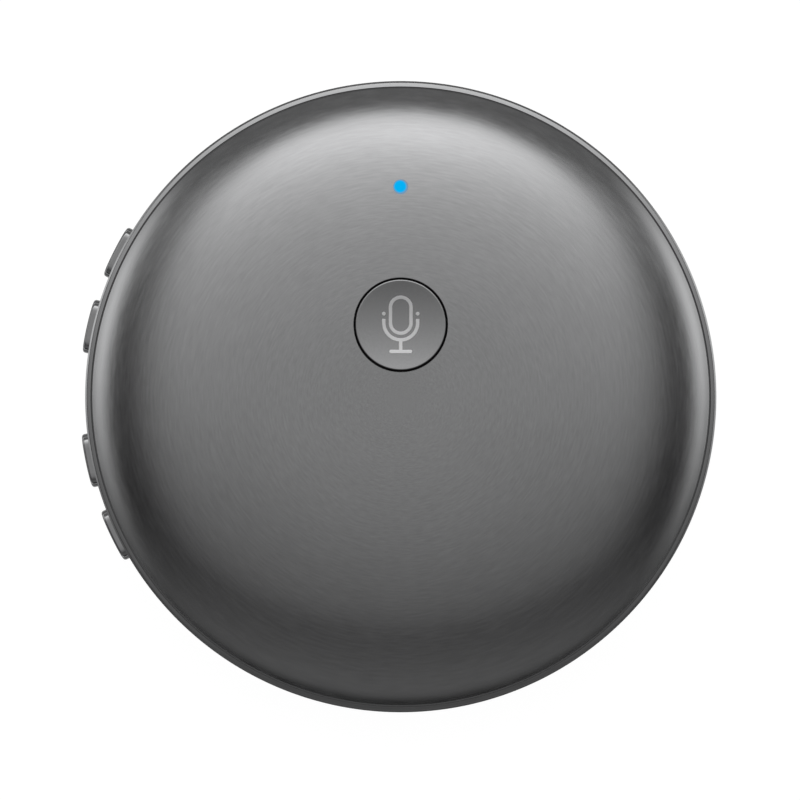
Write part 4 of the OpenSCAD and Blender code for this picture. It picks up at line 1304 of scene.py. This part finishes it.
# %% [markdown]
# ## The charging socket
#
# The socket's shell is drawn from one sheet, so it is a pill-shaped tube with a thin even wall, a
# closed back and a rounded mouth. Inside, a flat tongue carries two rows of gold contacts. The
# pills that cut the rim serve here too, and everything is modelled on +X and turned to its side.

# %% Draw the shell
USB_WALL = 0.3 * MM
MOUTH_ROUND = 0.1 * MM
mouth_r, back_r = (-corner.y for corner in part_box("usb_shell"))
bore_r = back_r + USB_WALL
bore_size = (USB_W - 2 * USB_WALL, USB_H - 2 * USB_WALL)
socket = pill(back_r, mouth_r - back_r, USB_W, USB_H)
combine(socket, [pill(bore_r, mouth_r + MM - bore_r, *bore_size)])
soften(socket, lambda at: at.x > mouth_r - WELD, MOUTH_ROUND)
spin_to(socket, USB_ANGLE)
hand_over(socket, "drawn_socket", "case", "socket_steel", "usb_shell")
keep_flat(socket)

# %% Add the tongue and its contacts
TONGUE_W = 6.7 * MM
TONGUE_T = 0.7 * MM
TONGUE_BACK = 0.8 * MM
TONGUE_BASE = 2 * MM
TONGUE_EDGE = 0.15 * MM
CONTACTS = 12
CONTACT_PITCH = 0.5 * MM
CONTACT_L = 2.6 * MM
CONTACT_W = 0.26 * MM
CONTACT_T = 0.04 * MM
CONTACT_BACK = 0.3 * MM
tongue_end = mouth_r - TONGUE_BACK
tongue_top = rim_mid + TONGUE_T / 2
tongue = block((tongue_end - bore_r, TONGUE_W, TONGUE_T), ((tongue_end + bore_r) / 2, 0, rim_mid))
soften(tongue, lambda at: at.x > tongue_end - WELD, TONGUE_EDGE)
combine(tongue, [pill(bore_r, TONGUE_BASE, *bore_size)], "UNION")
spin_to(tongue, USB_ANGLE)
hand_over(tongue, "contact_tongue", "case", "tongue_plastic", "usb_tongue")
contact_x = tongue_end - CONTACT_BACK - CONTACT_L / 2
strip = block((CONTACT_L, CONTACT_W, CONTACT_T), (contact_x, 0, tongue_top))
soften(strip, lambda at: at.z > tongue_top + WELD, CONTACT_T / 3, 1)
lower_strip = shift(duplicate(strip), z=-TONGUE_T)
row = [(0, (i - (CONTACTS - 1) / 2) * CONTACT_PITCH) for i in range(CONTACTS)]
contacts = combine(copies_at(strip, row), [copies_at(lower_strip, row)], "UNION")
spin_to(contacts, USB_ANGLE)
hand_over(contacts, "gold_contacts", "case", "mic_metal", "usb_tongue")

# %% [markdown]
# ## The loudspeaker
#
# A flat loudspeaker is a basket with vent holes, a plated magnet cup, and a paper cone that hangs
# in a rolled surround so that it can move. All of it is turned from sections. The cone's lower
# and upper faces are the same line, one wall apart.

# %% Turn the basket and the magnet
SPEAKER_R = 10 * MM
BASKET_H = 3 * MM
BASKET_WALL = 0.8 * MM
BASKET_ROUND = 0.4 * MM
VENT_R = 0.8 * MM
VENTS = 12
VENT_CORNERS = 32
CUP_STEPS = 96
CUP_ROUND = 0.3 * MM
CUP_HOLLOW = (2 * MM, 1.6 * MM)
HOLLOW_DEPTH = 0.4 * MM
magnet_low, magnet_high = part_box("speaker_magnet")
magnet_r = magnet_high.x
basket_top = speaker_low.z + BASKET_H
basket_under = basket_top - BASKET_WALL
basket_in = SPEAKER_R - BASKET_WALL
basket_section = [
    (SPEAKER_R, speaker_low.z), (SPEAKER_R, basket_top), (magnet_r, basket_top),
    (magnet_r, basket_under), (basket_in, basket_under), (basket_in, speaker_low.z),
]
basket = lathe(basket_section, True, [(SPEAKER_R, basket_top, BASKET_ROUND, 4)], RING_STEPS)
vent = cylinder(VENT_R, basket_under - BASKET_WALL, basket_top + MM, corners=VENT_CORNERS)
vent_circle = (magnet_r + basket_in) / 2
vent_places = [on_circle(vent_circle, math.tau * (i + 0.5) / VENTS) for i in range(VENTS)]
shift(combine(basket, [copies_at(vent, vent_places)]), y=speaker_y)
hand_over(basket, "vented_basket", "case", "speaker_plastic", "speaker_frame")

hollow_low = magnet_high.z - HOLLOW_DEPTH
cup_section = [
    (0, magnet_low.z), (magnet_r, magnet_low.z), (magnet_r, magnet_high.z),
    (CUP_HOLLOW[0], magnet_high.z), (CUP_HOLLOW[1], hollow_low), (0, hollow_low),
]
cup = lathe(cup_section, rounds=[(magnet_r, magnet_high.z, CUP_ROUND, 4)], steps=CUP_STEPS)
shift(cup, y=speaker_y)
hand_over(cup, "magnet_cup", "case", "magnet_steel", "speaker_magnet")

# %% Turn the cone
CONE_T = 0.2 * MM
CONE_RISE = 1.2 * MM
CONE_CAP_R = 3 * MM
CAP_BULGE = 0.35 * MM
ROLL_IN = 7.4 * MM
ROLL_OUT = 8.8 * MM
ROLL_H = 0.45 * MM
CAP_POINTS = 6
ROLL_POINTS = 10


def cone_z(radius):
    """Height of the cone's lower face: a bulging cap, a straight cone, a roll and a flat edge."""
    if radius <= CONE_CAP_R:
        return CONE_RISE - CAP_BULGE * (1 - (radius / CONE_CAP_R) ** 2)
    if radius <= ROLL_IN:
        return CONE_RISE * (1 - (radius - CONE_CAP_R) / (ROLL_IN - CONE_CAP_R))
    if radius < ROLL_OUT:
        return ROLL_H * math.sin(math.pi * (radius - ROLL_IN) / (ROLL_OUT - ROLL_IN))
    return 0.0


cone_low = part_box("speaker_cone")[0].z
cap_radii = [CONE_CAP_R * i / CAP_POINTS for i in range(CAP_POINTS + 1)]
roll_radii = [ROLL_IN + (ROLL_OUT - ROLL_IN) * i / ROLL_POINTS for i in range(ROLL_POINTS + 1)]
under = [(radius, cone_low + cone_z(radius)) for radius in [*cap_radii, *roll_radii, basket_in]]
over = [(radius, height + CONE_T) for radius, height in reversed(under)]
cone = shift(lathe(under + over, steps=CUP_STEPS), y=speaker_y)
hand_over(cone, "paper_cone", "case", "cone_paper", "speaker_cone")

# %% [markdown]
# ## Rounded copies
#
# The symbol and the other inner pieces already have their right shape in the construction, but
# every real edge is a little round. Each gets a copy of its own solid with its doubled corners
# merged, its flat faces made whole, its edges bevelled, and on cans and chips its lid pressed in
# a little. The symbol is filled and polished, so it stands a hair proud of the dish.

# %% Round the edges of what is there
FLAT_ANGLE = math.radians(1)
CORNER_ANGLE = math.radians(40)
CORNER_SEGMENTS = 3
slot_of = {row["node"]: row["material_slot"] for row in frame["record"]["subparts"]}
body_of = {
    node: body for body, members in frame["record"]["behaviour"]["bodies"].items() for node in members
}


def remake(node, name, edge, inset=0.0, sink=0.0):
    """Puts a rounded copy of a piece of construction in its place, with sizes in millimetres."""
    piece = bpy.data.objects.new(name, nodes[node].data.copy())
    bpy.context.scene.collection.objects.link(piece)
    start_edit(piece)
    bpy.ops.mesh.select_all(action="SELECT")
    bpy.ops.mesh.customdata_custom_splitnormals_clear()
    bpy.ops.mesh.remove_doubles(threshold=WELD)
    bpy.ops.mesh.dissolve_limited(angle_limit=FLAT_ANGLE)
    if inset:
        top = max(vertex.co.z for vertex in nodes[node].data.vertices)
        pick("faces", lambda at: at.z > top - WELD)
        bpy.ops.mesh.inset(thickness=inset * MM, use_individual=True)
        bpy.ops.transform.translate(value=(0, 0, -sink * MM))
    end_edit()
    if edge:
        apply_step(
            piece, "BEVEL", width=edge * MM, segments=CORNER_SEGMENTS,
            limit_method="ANGLE", angle_limit=CORNER_ANGLE,
        )
    hand_over(piece, name, body_of[node], slot_of[node], node)
    keep_flat(piece)
    return piece


# %% Raise the symbol
SYMBOL_PROUD = 0.012 * MM
symbol = remake("mic_symbol", "inlaid_microphone", 0.03)
middle_z = sum(corner.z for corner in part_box("mic_symbol")) / 2
for vertex in symbol.data.vertices:
    if vertex.co.z > middle_z:
        vertex.co.z += SYMBOL_PROUD

# %% Round the pieces on and under the board
REMADE = [
    ("talk_switch", "tact_switch_body", 0.12, 0.5, 0.12), ("talk_switch_plunger", "tact_plunger", 0.15),
    ("status_led", "light_chip", 0.06), ("main_board", "round_board", 0.05),
    ("processor", "processor_package", 0.06, 0.5, 0.05), ("memory_chip", "memory_package", 0.06, 0.5, 0.05),
    ("shield_can", "pressed_can", 0.08, 0.8, 0.1), ("radio_module", "radio_can", 0.08, 0.6, 0.1),
    ("chip_antenna", "antenna_block", 0.06, 0.2, 0.03),
    ("audio_amplifier", "amplifier_package", 0.06, 0.3, 0.05),
    ("charging_chip", "charger_package", 0.06, 0.3, 0.05), ("board_components", "small_parts", 0.05),
    ("battery", "pouch_cell", 0.5), ("battery_protection_board", "cell_guard_board", 0.06),
    ("battery_tape", "cell_tape", 0.03), ("battery_lead", "cell_wires", 0),
    ("battery_plug", "cell_plug", 0.1), ("battery_socket", "cell_socket", 0.1),
    ("speaker_gasket", "foam_ring", 0.08), ("speaker_mesh", "dust_cloth", 0.03),
    ("speaker_pad", "foam_pad", 0.1), ("speaker_lead", "speaker_wires", 0),
    ("talk_microphone", "talk_capsule", 0.08), ("talk_microphone_boot", "talk_boot", 0.1),
    ("rear_microphone", "rear_capsule", 0.08), ("rear_microphone_boot", "rear_boot", 0.1),
]
for key in SIDE_KEYS:
    REMADE += [(key + "_switch", key + "_switch_body", 0.12), (key + "_plunger", key + "_nub", 0.1)]
for row in REMADE:
    remake(*row)
print(len(REMADE), "inner pieces rounded")
